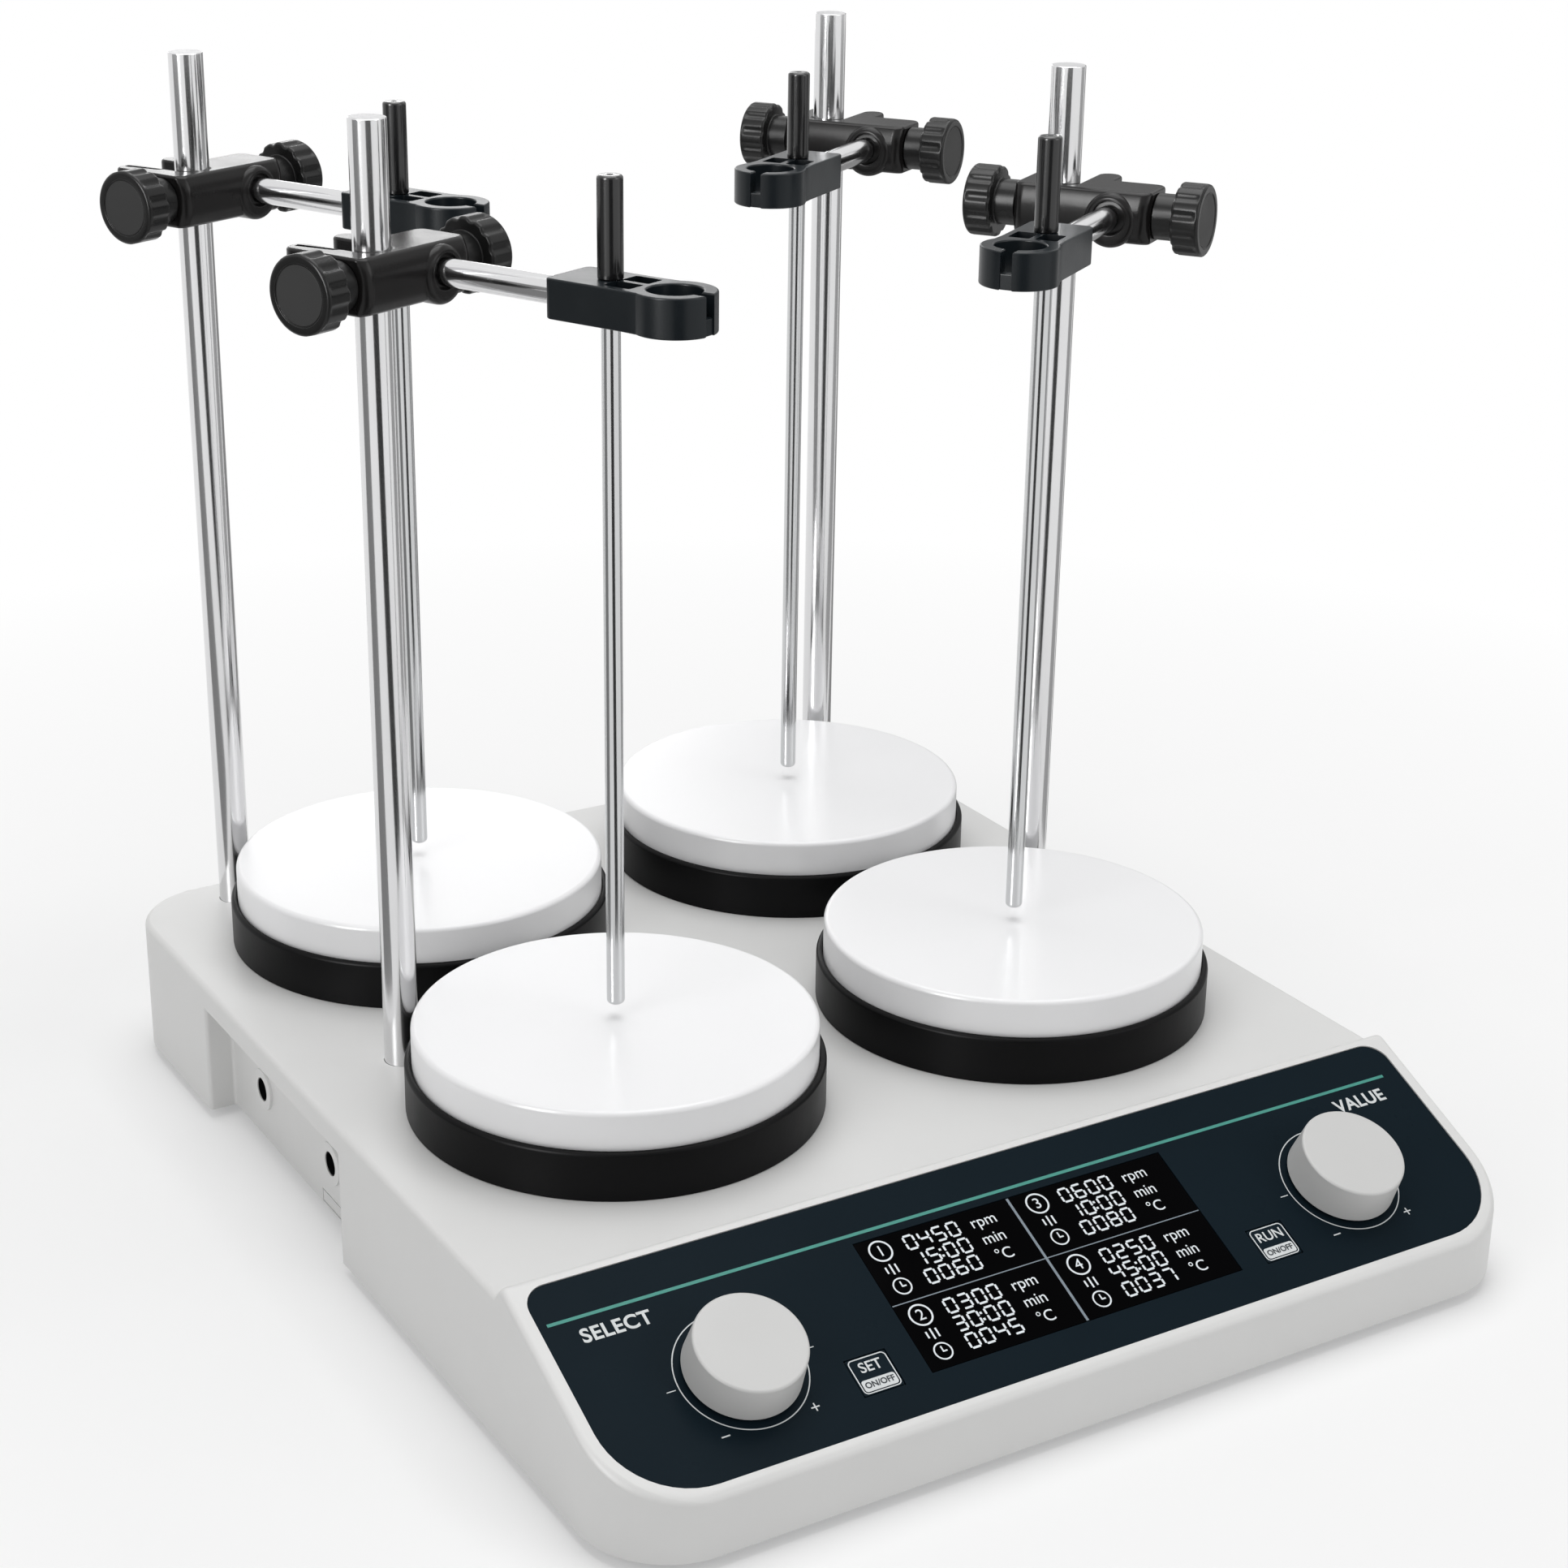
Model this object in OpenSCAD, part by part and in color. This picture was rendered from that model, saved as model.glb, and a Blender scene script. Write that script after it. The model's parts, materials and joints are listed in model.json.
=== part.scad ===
// Multi-position hotplate stirrer: four heated plates on a low bench housing with a sloped panel,
// each plate with a support rod, a boss clamp, a cross arm, a sensor holder and a temperature probe.
// Millimetres, +Z up, +X to the right, +Y to the back. The origin is on the bench, under the middle.

/* [Housing] */
// Width of the housing
body_w = 340; // [334:1:380]
// Depth of the housing
body_d = 408; // [404:1:430]
// Height of the housing from its lower edge to the deck
body_h = 50; // [48:1:60]
// Wall thickness of the housing
wall = 3; // [2.5:0.1:3.5]
// Radius of the housing's upright corners
corner_r = 30; // [20:1:34]
// Thickness of the base plate
base_t = 2; // [1.5:0.1:3]
// Gap between the base plate and the housing walls
base_gap = 0.4; // [0.2:0.05:0.8]
// Height of the raised lip behind the panel
lip_h = 5; // [3:0.5:7]
// Run of the slope that climbs from the deck to the lip
lip_run = 4; // [2:0.5:6]
// Slope of the control panel in degrees
panel_slope = 24; // [20:1:26]
// Length of the sloped face from lip to nose
slope_len = 86; // [84:1:90]
// Radius of the nose between the sloped face and the front wall
nose_r = 5; // [3:0.5:7]
// Radius of the rear edge of the deck
rear_r = 4; // [2:0.5:6]

/* [Side recesses] */
// Depth of each side recess
recess_depth = 10; // [8:0.5:12]
// Length of each side recess
recess_len = 122; // [110:1:126]
// Distance from the nose to the front end of the side recess
recess_front = 200; // [190:1:204]
// Height of the rim left above the side recess
recess_rim = 9; // [7:0.5:12]
// Radius of the sensor sockets' bore
socket_r = 4; // [3:0.25:5]
// Wall of the sensor sockets
socket_wall = 1.6; // [1.2:0.1:2]
// Depth of the sensor sockets' bore
socket_depth = 9; // [7:0.5:11]
// Distance between the two sensor sockets of a side
socket_pitch = 62; // [40:1:80]
// Height of the sensor sockets above the housing's lower edge
socket_h = 20; // [17:0.5:24]

/* [Feet and screws] */
// Height of the rubber feet below the housing
foot_h = 4; // [3:0.5:8]
// Radius of the rubber feet
foot_r = 10; // [8:0.5:12]
// Radius of the pegs that hold the feet
foot_peg_r = 3; // [2:0.25:4]
// Distance of the feet from the housing's edges
foot_inset = 46; // [44:1:60]
// Radius of the base screws
screw_r = 1.9; // [1.5:0.1:2.5]
// Radius of the base screws' heads
screw_head_r = 3.6; // [3:0.1:4.5]
// Height of the base screws' heads
screw_head_h = 1.8; // [1.4:0.1:2.4]
// Depth that the base screws reach into their posts
screw_grip = 9; // [6:0.5:14]
// Distance of the base screws from the sides and the back of the housing
screw_inset = 20; // [18:0.5:24]
// Distance of the front base screws from the nose
screw_front = 30; // [26:0.5:34]
// Radius of the posts that take the base screws
post_r = 5; // [4:0.25:7]

/* [Heating stations] */
// Distance between the left and right plates
plate_pitch_x = 160; // [156:1:168]
// Distance between the front and back plates
plate_pitch_y = 156; // [152:1:158]
// Distance from the middle of the housing back to the middle of the four plates
plate_grid_back = 49; // [46:0.5:51]
// Diameter of the heating plates
plate_d = 135; // [125:1:136]
// Height of the heating plates above the insulating rings
plate_rise = 13; // [9:0.5:18]
// Diameter of the insulating rings
ring_d = 140; // [139:0.5:142]
// Height of the insulating rings
ring_h = 17; // [14:0.5:22]
// Thickness of the floor of the insulating rings
ring_floor = 2; // [1.5:0.1:3]
// Depth of the rebate that takes the heating plate
rebate = 3; // [2:0.25:4]
// Gap around the heating plate in its rebate
plate_gap = 0.3; // [0.2:0.05:0.5]
// Wall of the insulating ring beside the heater
ring_wall = 11; // [8:0.5:14]
// Radius of the wire hole in the floor of the insulating rings
wire_r = 12; // [8:0.5:20]
// Gap around the heater disc
heater_gap = 3; // [2:0.5:6]

/* [Stirring drives] */
// Radius of the stirring motors
motor_r = 23; // [18:0.5:26]
// Height of the stirring motors
motor_h = 20; // [16:0.5:22]
// Radius of the drive shafts
drive_r = 2.5; // [2:0.1:3.5]
// Running clearance of shafts in their bores
run_gap = 0.05; // [0.02:0.01:0.09]
// Height of the brackets that carry the motors
bracket_h = 6; // [5:0.5:8]
// Thickness of the brackets' plate
bracket_t = 2; // [1.5:0.1:2.5]
// Radius of the magnet carrier
carrier_r = 27; // [22:0.5:30]
// Thickness of the magnet carrier
carrier_t = 4; // [3:0.25:5]
// Radius of the two drive magnets
magnet_r = 9; // [6:0.25:10]
// Height of the two drive magnets
magnet_h = 6; // [4:0.25:7]
// Distance of a drive magnet from the drive shaft
magnet_offset = 16; // [14:0.5:17]
// Free space between motor and magnet carrier
drive_gap = 2; // [1:0.25:3]

/* [Support rods] */
// Diameter of the support rods
rod_d = 12; // [10:0.5:12.5]
// Height of the support rods above the deck
rod_h = 318; // [300:1:350]
// Depth of the rod sockets in the deck
rod_seat = 14; // [10:0.5:18]
// Wall of the rod sockets below the deck
rod_seat_wall = 5; // [4:0.25:7]
// Distance from a plate's middle to its support rod
rod_radius = 79; // [78:0.5:84]
// Direction of the support rod from the plate's middle, from the side towards the back, in degrees
rod_angle = 50; // [46:1:56]
// Bevel at the top of the support rods
rod_bevel = 0.8; // [0.4:0.1:1.5]

/* [Boss clamps] */
// Height of the boss clamps' middle above the deck
boss_z = 269; // [240:1:275]
// Depth of the boss clamps' block
boss_depth = 22; // [20:0.5:25]
// Height of the boss clamps
boss_h = 18; // [15:0.5:20]
// Radius of the boss clamps' upright corners
boss_corner = 4; // [2:0.25:6]
// Distance between support rod and cross arm
cross_offset = 21; // [20:0.5:24]
// Length of the boss beyond the support rod
boss_rod_end = 15; // [13:0.5:18]
// Length of the boss beyond the cross arm
boss_arm_end = 14; // [12:0.5:18]
// Length of the jaw's two prongs behind the support rod
jaw_len = 24; // [16:0.5:26]
// Radius of the collar where the cross arm enters
collar_r = 9.5; // [7.5:0.25:10]
// How far the collar stands out of the boss
collar_rise = 1; // [0.5:0.25:3]

/* [Clamp knobs] */
// Radius of the clamp knobs
grip_r = 12.5; // [10:0.25:14]
// Thickness of the clamp knobs
grip_t = 10; // [8:0.5:14]
// Number of flutes on a clamp knob
grip_flutes = 12; // [8:1:16]
// Radius of the flutes
flute_r = 1.8; // [1.2:0.1:2.2]
// Radius of the neck behind a clamp knob
neck_r = 8; // [6:0.25:8.5]
// Length of the neck behind a clamp knob
neck_len = 8; // [4:0.25:10]
// Radius of the clamp screws
stud_r = 3; // [2.5:0.1:3.5]
// Gap between a clamp screw's tip and what it clamps, and between neck and boss
clamp_gap = 0.3; // [0.2:0.05:0.5]
// Depth of the round inset in a clamp knob's face
face_inset = 0.4; // [0.2:0.1:1]
// Rim left around the inset
face_rim = 2.8; // [2:0.1:4]

/* [Arms and sensor holders] */
// Diameter of the cross arms
arm_d = 9; // [7:0.25:9.5]
// Length of the cross arm behind the boss clamp's middle
arm_tail = 22; // [20:0.5:28]
// Depth of the cross arm's seat in the sensor holder
arm_seat = 10; // [8:0.5:11]
// Gap around the cross arm in its seat
seat_gap = 0.02; // [0.01:0.01:0.05]
// Length of the sensor holder behind the probe
holder_back = 17; // [16:0.5:22]
// Width of the sensor holder
holder_w = 22; // [18:0.5:24]
// Height of the sensor holder
holder_h = 12.5; // [11:0.25:15]
// Distance from the probe to the middle of the holder's ring
holder_ring_at = 24; // [23:0.5:28]
// Radius of the hole in the holder's ring
holder_ring_r = 8.5; // [7:0.25:9]
// Wall of the holder's ring
holder_ring_wall = 4.5; // [3.5:0.25:6]
// Width of the slit in the holder's ring
slit_w = 4; // [3:0.25:6]
// Depth of the slit, which leaves the ring closed below it
slit_depth = 9; // [6:0.25:10]
// Width of the pocket between probe and ring
pocket_w = 16.75; // [12:0.25:17.5]
// Rib left along the middle of the pocket
pocket_rib = 2; // [1.5:0.25:4]
// Depth of the pocket between probe and ring
pocket_depth = 5; // [3:0.25:7]
// Web left on each side of the pocket
pocket_web = 1.6; // [1.4:0.1:3]

/* [Temperature probes] */
// Diameter of the probe sheaths
sheath_d = 6; // [4:0.25:6.5]
// Height of the probe tip above the heating plate
tip_clear = 5; // [4:0.5:20]
// Diameter of the probe handles
handle_d = 8; // [7.5:0.1:9]
// Length of the probe handles
handle_len = 31; // [28:0.5:45]
// Depth of the sheath in its handle
handle_seat = 26; // [20:0.5:27]
// Radius of the small hole in the handle's end
handle_hole_r = 0.9; // [0.5:0.1:1.5]
// Bevel at the handle's end
handle_bevel = 0.8; // [0.3:0.1:1.5]

/* [Control panel] */
// Distance from the housing's sides to the panel overlay
overlay_side = 5; // [4.5:0.25:9]
// Length of the panel overlay along the slope
overlay_len = 79; // [76:0.5:79.5]
// Distance from the lip to the panel overlay
overlay_top = 3; // [2.5:0.25:4]
// Thickness of the panel overlay
overlay_t = 1.2; // [0.8:0.1:1.5]
// How far the panel overlay lies below the lip
overlay_sink = 0.4; // [0.2:0.1:1]
// Radius of the overlay's upper corners
overlay_top_r = 8; // [5:0.5:12]
// Radius of the overlay's lower corners
overlay_low_r = 27; // [20:0.5:29]
// Gap around pieces set into the panel
panel_gap = 0.3; // [0.2:0.05:0.5]
// Width of the display window
display_w = 118; // [100:1:122]
// Length of the display window along the slope
display_len = 50; // [44:0.5:51]
// Distance from the overlay's top to the middle of the display
display_at = 42; // [40:0.5:44]
// Thickness of the display module
display_t = 5; // [4:0.25:6]
// Rim of the display module behind the overlay
display_rim = 3; // [2:0.25:4]
// Distance from the overlay's ends to the knobs
knob_side = 51; // [45:0.5:55]
// Distance from the overlay's top to the knobs
knob_at = 46.5; // [44:0.5:48]
// Radius of the panel knobs
knob_r = 18; // [15:0.25:19]
// Height of the panel knobs
knob_h = 13; // [11:0.25:18]
// Wall of the panel knobs
knob_wall = 2; // [1.5:0.1:3]
// Gap under the panel knobs, more than their push travel
knob_gap = 1; // [0.8:0.05:1.5]
// Radius of the hub inside a panel knob
hub_r = 6; // [5:0.25:8]
// Radius of the encoder shafts
shaft_r = 3; // [2.5:0.1:3.5]
// Depth of the encoder shaft in the knob's hub
shaft_grip = 8; // [6:0.25:9]
// Free depth in the hub for the knob's push travel
push_room = 0.8; // [0.7:0.05:1]
// Radius of the encoders' threaded bush
bush_r = 4.5; // [4:0.1:5]
// Distance from the display window's edges to the middle of the keys
key_side = 17; // [15:0.5:19]
// Distance from the overlay's top to the keys
key_at = 61; // [58:0.5:64]
// Width of the keys
key_w = 14; // [10:0.5:15]
// Length of the keys along the slope
key_len = 13; // [10:0.5:14]
// Thickness of the keys
key_t = 2.4; // [2:0.1:3]
// Free travel below the keys
key_room = 0.6; // [0.5:0.05:0.9]

/* [Boards and power] */
// Distance from the sloped face down to the control board
board_below = 13; // [12:0.25:14]
// Thickness of the circuit boards
board_t = 1.6; // [1:0.1:2]
// How far the control board reaches beyond the knobs
board_side = 24; // [20:0.5:28]
// Length of the control board along the slope
board_len = 56; // [50:0.5:58]
// Distance from the overlay's top to the middle of the control board
board_at = 42; // [40:0.5:44]
// Radius of the posts that carry the boards
board_post_r = 3; // [2:0.25:4]
// Width of the power board
power_w = 76; // [60:1:84]
// Depth of the power board
power_d = 150; // [120:1:170]
// Height of the power board above the base plate
power_rise = 5; // [4:0.25:8]
// Sideways place of the mains inlet on the rear wall
inlet_x = -60; // [-80:1:-40]
// Width of the mains inlet's flange
inlet_w = 58; // [54:0.5:62]
// Height of the mains inlet's flange
inlet_h = 30; // [28:0.5:32]
// Thickness of the mains inlet's flange
inlet_flange = 2; // [1.5:0.1:3]
// Depth of the mains inlet's body
inlet_depth = 22; // [20:0.5:26]
// Margin of the flange around the inlet's body
inlet_margin = 3; // [2:0.25:4]
// Width of the socket in the mains inlet
socket_w = 24; // [22:0.25:24.5]
// Height of the socket in the mains inlet
socket_tall = 16.5; // [15:0.25:17]
// Depth of the socket in the mains inlet
socket_deep = 17; // [15:0.5:18]
// Distance from the flange's middle to the socket and to the switch
inlet_split = 13.5; // [13:0.25:14]
// Width of the power rocker
rocker_w = 13; // [11:0.25:14]
// Height of the power rocker
rocker_h = 19; // [16:0.25:20]
// Tilt of the power rocker at each end of its travel
rocker_tilt = 7; // [5:0.5:8]
// Radius of the power rocker's pivot pin
rocker_pin_r = 1.5; // [1.2:0.1:1.8]
// Gap around the power rocker
rocker_gap = 0.8; // [0.6:0.1:1]

/* [Hidden] */
$fn = 48;

// Levels
base_z = foot_h;
floor_z = base_z + base_t;
deck_z = base_z + body_h;
ceiling_z = deck_z - wall;
ring_top = deck_z + ring_h;
plate_seat = ring_top - rebate;
plate_top = ring_top + plate_rise;
boss_mid = deck_z + boss_z;
rod_top = deck_z + rod_h;

// Radii
plate_r = plate_d / 2;
ring_r = ring_d / 2;
ring_in_r = ring_r - ring_wall;
rod_r = rod_d / 2;
arm_r = arm_d / 2;
sheath_r = sheath_d / 2;
handle_r = handle_d / 2;
rod_bore_r = rod_r + run_gap;
arm_bore_r = arm_r + run_gap;

// Stations: 1 back left, 2 front left, 3 back right, 4 front right
stations = [1, 2, 3, 4];
function side(i) = i <= 2 ? -1 : 1;
function row(i) = i % 2 == 1 ? 1 : -1;

// The cross arm passes beside the rod, so it is turned until its probe stands over the plate's middle
arm_reach = sqrt(pow(rod_radius, 2) - pow(cross_offset, 2));
arm_turn = asin(cross_offset / rod_radius);
function boss_angle(i) = side(i) < 0 ? 90 - rod_angle - arm_turn : rod_angle - 90 - arm_turn;

// The rear clamp knob overhangs the housing, so the housing stands forward of the origin by half of that
arm_knob_end = cross_offset + boss_arm_end + neck_len + grip_t;
back_reach = plate_grid_back + plate_pitch_y / 2 + rod_radius * sin(rod_angle)
    + arm_knob_end * sin(boss_angle(1)) + grip_r * cos(boss_angle(1));
body_mid = -(back_reach - body_d / 2) / 2;
front_y = body_mid - body_d / 2;
back_y = body_mid + body_d / 2;

function plate_x(i) = side(i) * plate_pitch_x / 2;
function plate_y(i) = body_mid + plate_grid_back + row(i) * plate_pitch_y / 2;
function rod_x(i) = plate_x(i) + side(i) * rod_radius * cos(rod_angle);
function rod_y(i) = plate_y(i) + rod_radius * sin(rod_angle);

// Sloped face
lip_y = front_y + slope_len * cos(panel_slope);
lip_z = deck_z + lip_h;
nose_z = lip_z - slope_len * sin(panel_slope);
nose_mid_z = nose_z + nose_r * (tan(panel_slope) - 1 / cos(panel_slope));
overlay_w = body_w - 2 * overlay_side;
knob_x = overlay_w / 2 - knob_side;
key_x = display_w / 2 + key_side;
board_w = 2 * (knob_x + board_side);
board_post_x = board_w / 2 - 2 * board_post_r;
board_post_y = board_len / 2 - 2 * board_post_r;
pocket = overlay_t + overlay_sink;
panel_skin = pocket + wall;
knob_base = knob_gap - overlay_sink;
module_w = display_w + 2 * display_rim;
module_len = display_len + 2 * display_rim;
module_hole_w = module_w + 2 * panel_gap;
module_hole_len = module_len + 2 * panel_gap;
glass_w = display_w - 2 * panel_gap;
glass_len = display_len - 2 * panel_gap;
key_hole_w = key_w + 2 * panel_gap;
key_hole_len = key_len + 2 * panel_gap;

// Side recesses
recess_y0 = front_y + recess_front;
recess_y1 = recess_y0 + recess_len;
recess_top = deck_z - recess_rim;
recess_x = body_w / 2 - recess_depth;
socket_mid = (recess_y0 + recess_y1) / 2;
socket_z = base_z + socket_h;

// Inside
bracket_top = floor_z + bracket_h;
motor_top = bracket_top + motor_h;
carrier_z = motor_top + drive_gap;
power_z = floor_z + power_rise;
power_post_x = power_w / 2 - 2 * board_post_r;
power_post_y = power_d / 2 - 2 * board_post_r;
inlet_z = base_z + body_h / 2;
inlet_body_w = inlet_w - 2 * inlet_margin;
inlet_body_h = inlet_h - 2 * inlet_margin;
screw_x = body_w / 2 - screw_inset;
post_places = [
    [-screw_x, front_y + screw_front],
    [screw_x, front_y + screw_front],
    [-screw_x, back_y - screw_inset],
    [screw_x, back_y - screw_inset],
    [0, front_y + slope_len],
    [0, back_y - screw_inset]
];
// Floor left below the bores of the motors and of the encoders
bore_floor = 3;
encoder_floor = 1;
// Length of the power rocker's pivot pin, which enters the frame on both sides
pin_reach = 2;
pin_len = rocker_w + 2 * rocker_gap + 2 * pin_reach;

// Points on an arc about a centre, from one angle to another
function arc(cx, cy, r, from, to, steps) = [
    for (k = [0:steps])
        let (a = from + (to - from) * k / steps)
            [cx + r * cos(a), cy + r * sin(a)]
];

// Flat rectangle with round corners, about the origin
module rounded_rect(w, d, r) {
    square([w, d - 2 * r], center = true);
    square([w - 2 * r, d], center = true);
    for (sx = [-1, 1], sy = [-1, 1])
        translate([sx * (w / 2 - r), sy * (d / 2 - r)])
            circle(r);
}

// Flat rounded outline of the housing, drawn in by a margin
module plan(margin) {
    translate([0, body_mid])
        rounded_rect(body_w - 2 * margin, body_d - 2 * margin, max(corner_r - margin, 1));
}

// Side view outline, as [y, z] points, extruded across the width
module across(points) {
    translate([-body_w / 2 - 1, 0, 0])
        rotate([90, 0, 90])
            linear_extrude(body_w + 2)
                polygon(points);
}

// Frame of the sloped face: X across, Y up the slope from the overlay's top, Z out of the face
module on_panel() {
    translate([0, lip_y, lip_z])
        rotate([panel_slope, 0, 0])
            translate([0, -overlay_top, 0])
                children();
}

// Frame of a station's boss clamp: Z up the rod, X from rod to cross arm, -Y along the arm
module on_rod(i) {
    translate([rod_x(i), rod_y(i), boss_mid])
        rotate(boss_angle(i))
            children();
}

// Frame of a station's probe, with the same directions as the boss clamp's
module on_probe(i) {
    on_rod(i)
        translate([cross_offset, -arm_reach, 0])
            children();
}

// Outline of the panel overlay, drawn in by a margin, with its top edge on the X axis
module overlay_outline(margin) {
    w = overlay_w / 2 - margin;
    rt = overlay_top_r - margin;
    rb = overlay_low_r - margin;
    low = -overlay_len + margin;
    translate([-w, low + rb])
        square([2 * w, overlay_len - 2 * margin - rt - rb]);
    translate([-w + rt, -margin - rt])
        square([2 * (w - rt), rt]);
    translate([-w + rb, low])
        square([2 * (w - rb), rb]);
    for (sx = [-1, 1]) {
        translate([sx * (w - rt), -margin - rt])
            circle(rt);
        translate([sx * (w - rb), low + rb])
            circle(rb);
    }
}

module housing_outside() {
    intersection() {
        translate([0, 0, base_z])
            linear_extrude(body_h + lip_h + 1)
                plan(0);
        across(concat(
            [[front_y, base_z]],
            arc(front_y + nose_r, nose_mid_z, nose_r, 180, 90 + panel_slope, 6),
            [[lip_y, lip_z], [lip_y + lip_run, deck_z]],
            arc(back_y - rear_r, deck_z - rear_r, rear_r, 90, 0, 6),
            [[back_y, base_z]]
        ));
    }
}

module housing_cavity() {
    drop = panel_skin / cos(panel_slope);
    difference() {
        intersection() {
            translate([0, 0, base_z - 1])
                linear_extrude(body_h + lip_h)
                    plan(wall);
            across([
                [front_y, base_z - 1],
                [front_y, nose_z - drop],
                [lip_y - (wall + lip_h - drop) / tan(panel_slope), ceiling_z],
                [back_y, ceiling_z],
                [back_y, base_z - 1]
            ]);
        }
        for (sx = [-1, 1])
            side_recess(sx, wall);
    }
}

// Space of a side recess, grown inwards by a wall
module side_recess(sx, grow) {
    depth = recess_depth + grow + 1;
    left = sx < 0 ? -body_w / 2 - 1 : body_w / 2 + 1 - depth;
    translate([left, recess_y0 - grow, recess_top + grow - body_h])
        cube([depth, recess_len + 2 * grow, body_h]);
}

module housing() {
    color("whitesmoke")
    difference() {
        union() {
            difference() {
                housing_outside();
                housing_cavity();
            }
            intersection() {
                housing_outside();
                for (p = post_places)
                    translate([p[0], p[1], floor_z])
                        cylinder(r = post_r, h = body_h);
            }
            for (i = stations)
                translate([rod_x(i), rod_y(i), deck_z - rod_seat - wall])
                    cylinder(r = rod_r + rod_seat_wall, h = rod_seat + wall / 2);
            on_panel()
                translate([0, -board_at, -board_below])
                    for (sx = [-1, 1], sy = [-1, 1])
                        translate([sx * board_post_x, sy * board_post_y])
                            cylinder(r = board_post_r, h = board_below - pocket - wall / 2);
        }
        for (sx = [-1, 1])
            side_recess(sx, 0);
        for (i = stations)
            translate([rod_x(i), rod_y(i), deck_z - rod_seat])
                cylinder(r = rod_bore_r, h = rod_seat + lip_h);
        for (i = stations)
            translate([plate_x(i), plate_y(i), ceiling_z - 1])
                cylinder(r = wire_r, h = wall + 2);
        for (p = post_places)
            translate([p[0], p[1], floor_z - 1])
                cylinder(r = screw_r + run_gap, h = screw_grip + 1 + panel_gap);
        on_panel() {
            translate([0, 0, -pocket])
                linear_extrude(pocket + lip_h)
                    overlay_outline(0);
            translate([0, -display_at, 0])
                cube([module_hole_w, module_hole_len, 2 * panel_skin + 1], center = true);
            for (sx = [-1, 1]) {
                translate([sx * knob_x, -knob_at, -panel_skin - 1])
                    cylinder(r = bush_r + run_gap, h = panel_skin + 2);
                translate([sx * key_x, -key_at, 0])
                    cube([key_hole_w, key_hole_len, 2 * panel_skin + 1], center = true);
            }
        }
        sensor_socket_places()
            cylinder(r = socket_r + socket_wall + run_gap, h = 3 * wall, center = true);
        translate([inlet_x, back_y, inlet_z])
            cube([inlet_body_w + 2 * panel_gap, 4 * wall, inlet_body_h + 2 * panel_gap], center = true);
    }
}

module base_plate() {
    color("silver")
    difference() {
        union() {
            translate([0, 0, base_z])
                linear_extrude(base_t)
                    plan(wall + base_gap);
            translate([0, body_mid + plate_grid_back, base_z])
                for (sx = [-1, 1], sy = [-1, 1])
                    translate([sx * power_post_x, sy * power_post_y])
                        cylinder(r = board_post_r, h = base_t + power_rise);
        }
        for (sx = [-1, 1])
            side_recess(sx, wall + base_gap);
        for (p = post_places)
            translate([p[0], p[1], base_z - 1])
                cylinder(r = screw_r + 2 * base_gap, h = base_t + 2);
        foot_places()
            translate([0, 0, -1])
                cylinder(r = foot_peg_r + run_gap, h = base_t + 2);
    }
}

// Places of the four feet, on the underside of the base plate
module foot_places() {
    for (sx = [-1, 1], sy = [-1, 1])
        translate([sx * (body_w / 2 - foot_inset), body_mid + sy * (body_d / 2 - foot_inset), base_z])
            children();
}

module feet() {
    taper = 1;
    color("dimgray")
    foot_places()
        union() {
            translate([0, 0, -foot_h])
                cylinder(r1 = foot_r - taper, r2 = foot_r, h = foot_h);
            cylinder(r = foot_peg_r, h = base_t);
        }
}

module base_screws() {
    color("gray")
    for (p = post_places)
        translate([p[0], p[1], base_z])
            union() {
                translate([0, 0, -screw_head_h])
                    cylinder(r = screw_head_r, h = screw_head_h);
                cylinder(r = screw_r, h = base_t + screw_grip);
            }
}

module insulating_rings() {
    color("black")
    for (i = stations)
        translate([plate_x(i), plate_y(i), deck_z])
            difference() {
                cylinder(r = ring_r, h = ring_h);
                translate([0, 0, ring_floor])
                    cylinder(r = ring_in_r, h = ring_h);
                translate([0, 0, ring_h - rebate])
                    cylinder(r = plate_r + plate_gap, h = rebate + 1);
                translate([0, 0, -1])
                    cylinder(r = wire_r, h = ring_floor + 2);
            }
}

module heating_plates() {
    edge = 1;
    color("white")
    for (i = stations)
        translate([plate_x(i), plate_y(i), plate_seat])
            union() {
                cylinder(r = plate_r, h = rebate + plate_rise - edge);
                translate([0, 0, rebate + plate_rise - edge])
                    cylinder(r1 = plate_r, r2 = plate_r - edge, h = edge);
            }
}

module heater_discs() {
    color("darkgray")
    for (i = stations)
        translate([plate_x(i), plate_y(i), deck_z + ring_floor])
            cylinder(r = ring_in_r - heater_gap, h = ring_h - rebate - ring_floor);
}

module motor_brackets() {
    half = motor_r - 1;
    color("lightgray")
    for (i = stations)
        translate([plate_x(i), plate_y(i), floor_z])
            union() {
                translate([-half, -half, bracket_h - bracket_t])
                    cube([2 * half, 2 * half, bracket_t]);
                for (sx = [-1, 1])
                    translate([sx * (half - bracket_t / 2) - bracket_t / 2, -half, 0])
                        cube([bracket_t, 2 * half, bracket_h]);
            }
}

module stir_motors() {
    bore_depth = motor_h - bore_floor;
    color("dimgray")
    for (i = stations)
        translate([plate_x(i), plate_y(i), bracket_top])
            difference() {
                cylinder(r = motor_r, h = motor_h);
                translate([0, 0, motor_h - bore_depth])
                    cylinder(r = drive_r + run_gap, h = bore_depth + 1);
            }
}

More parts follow.
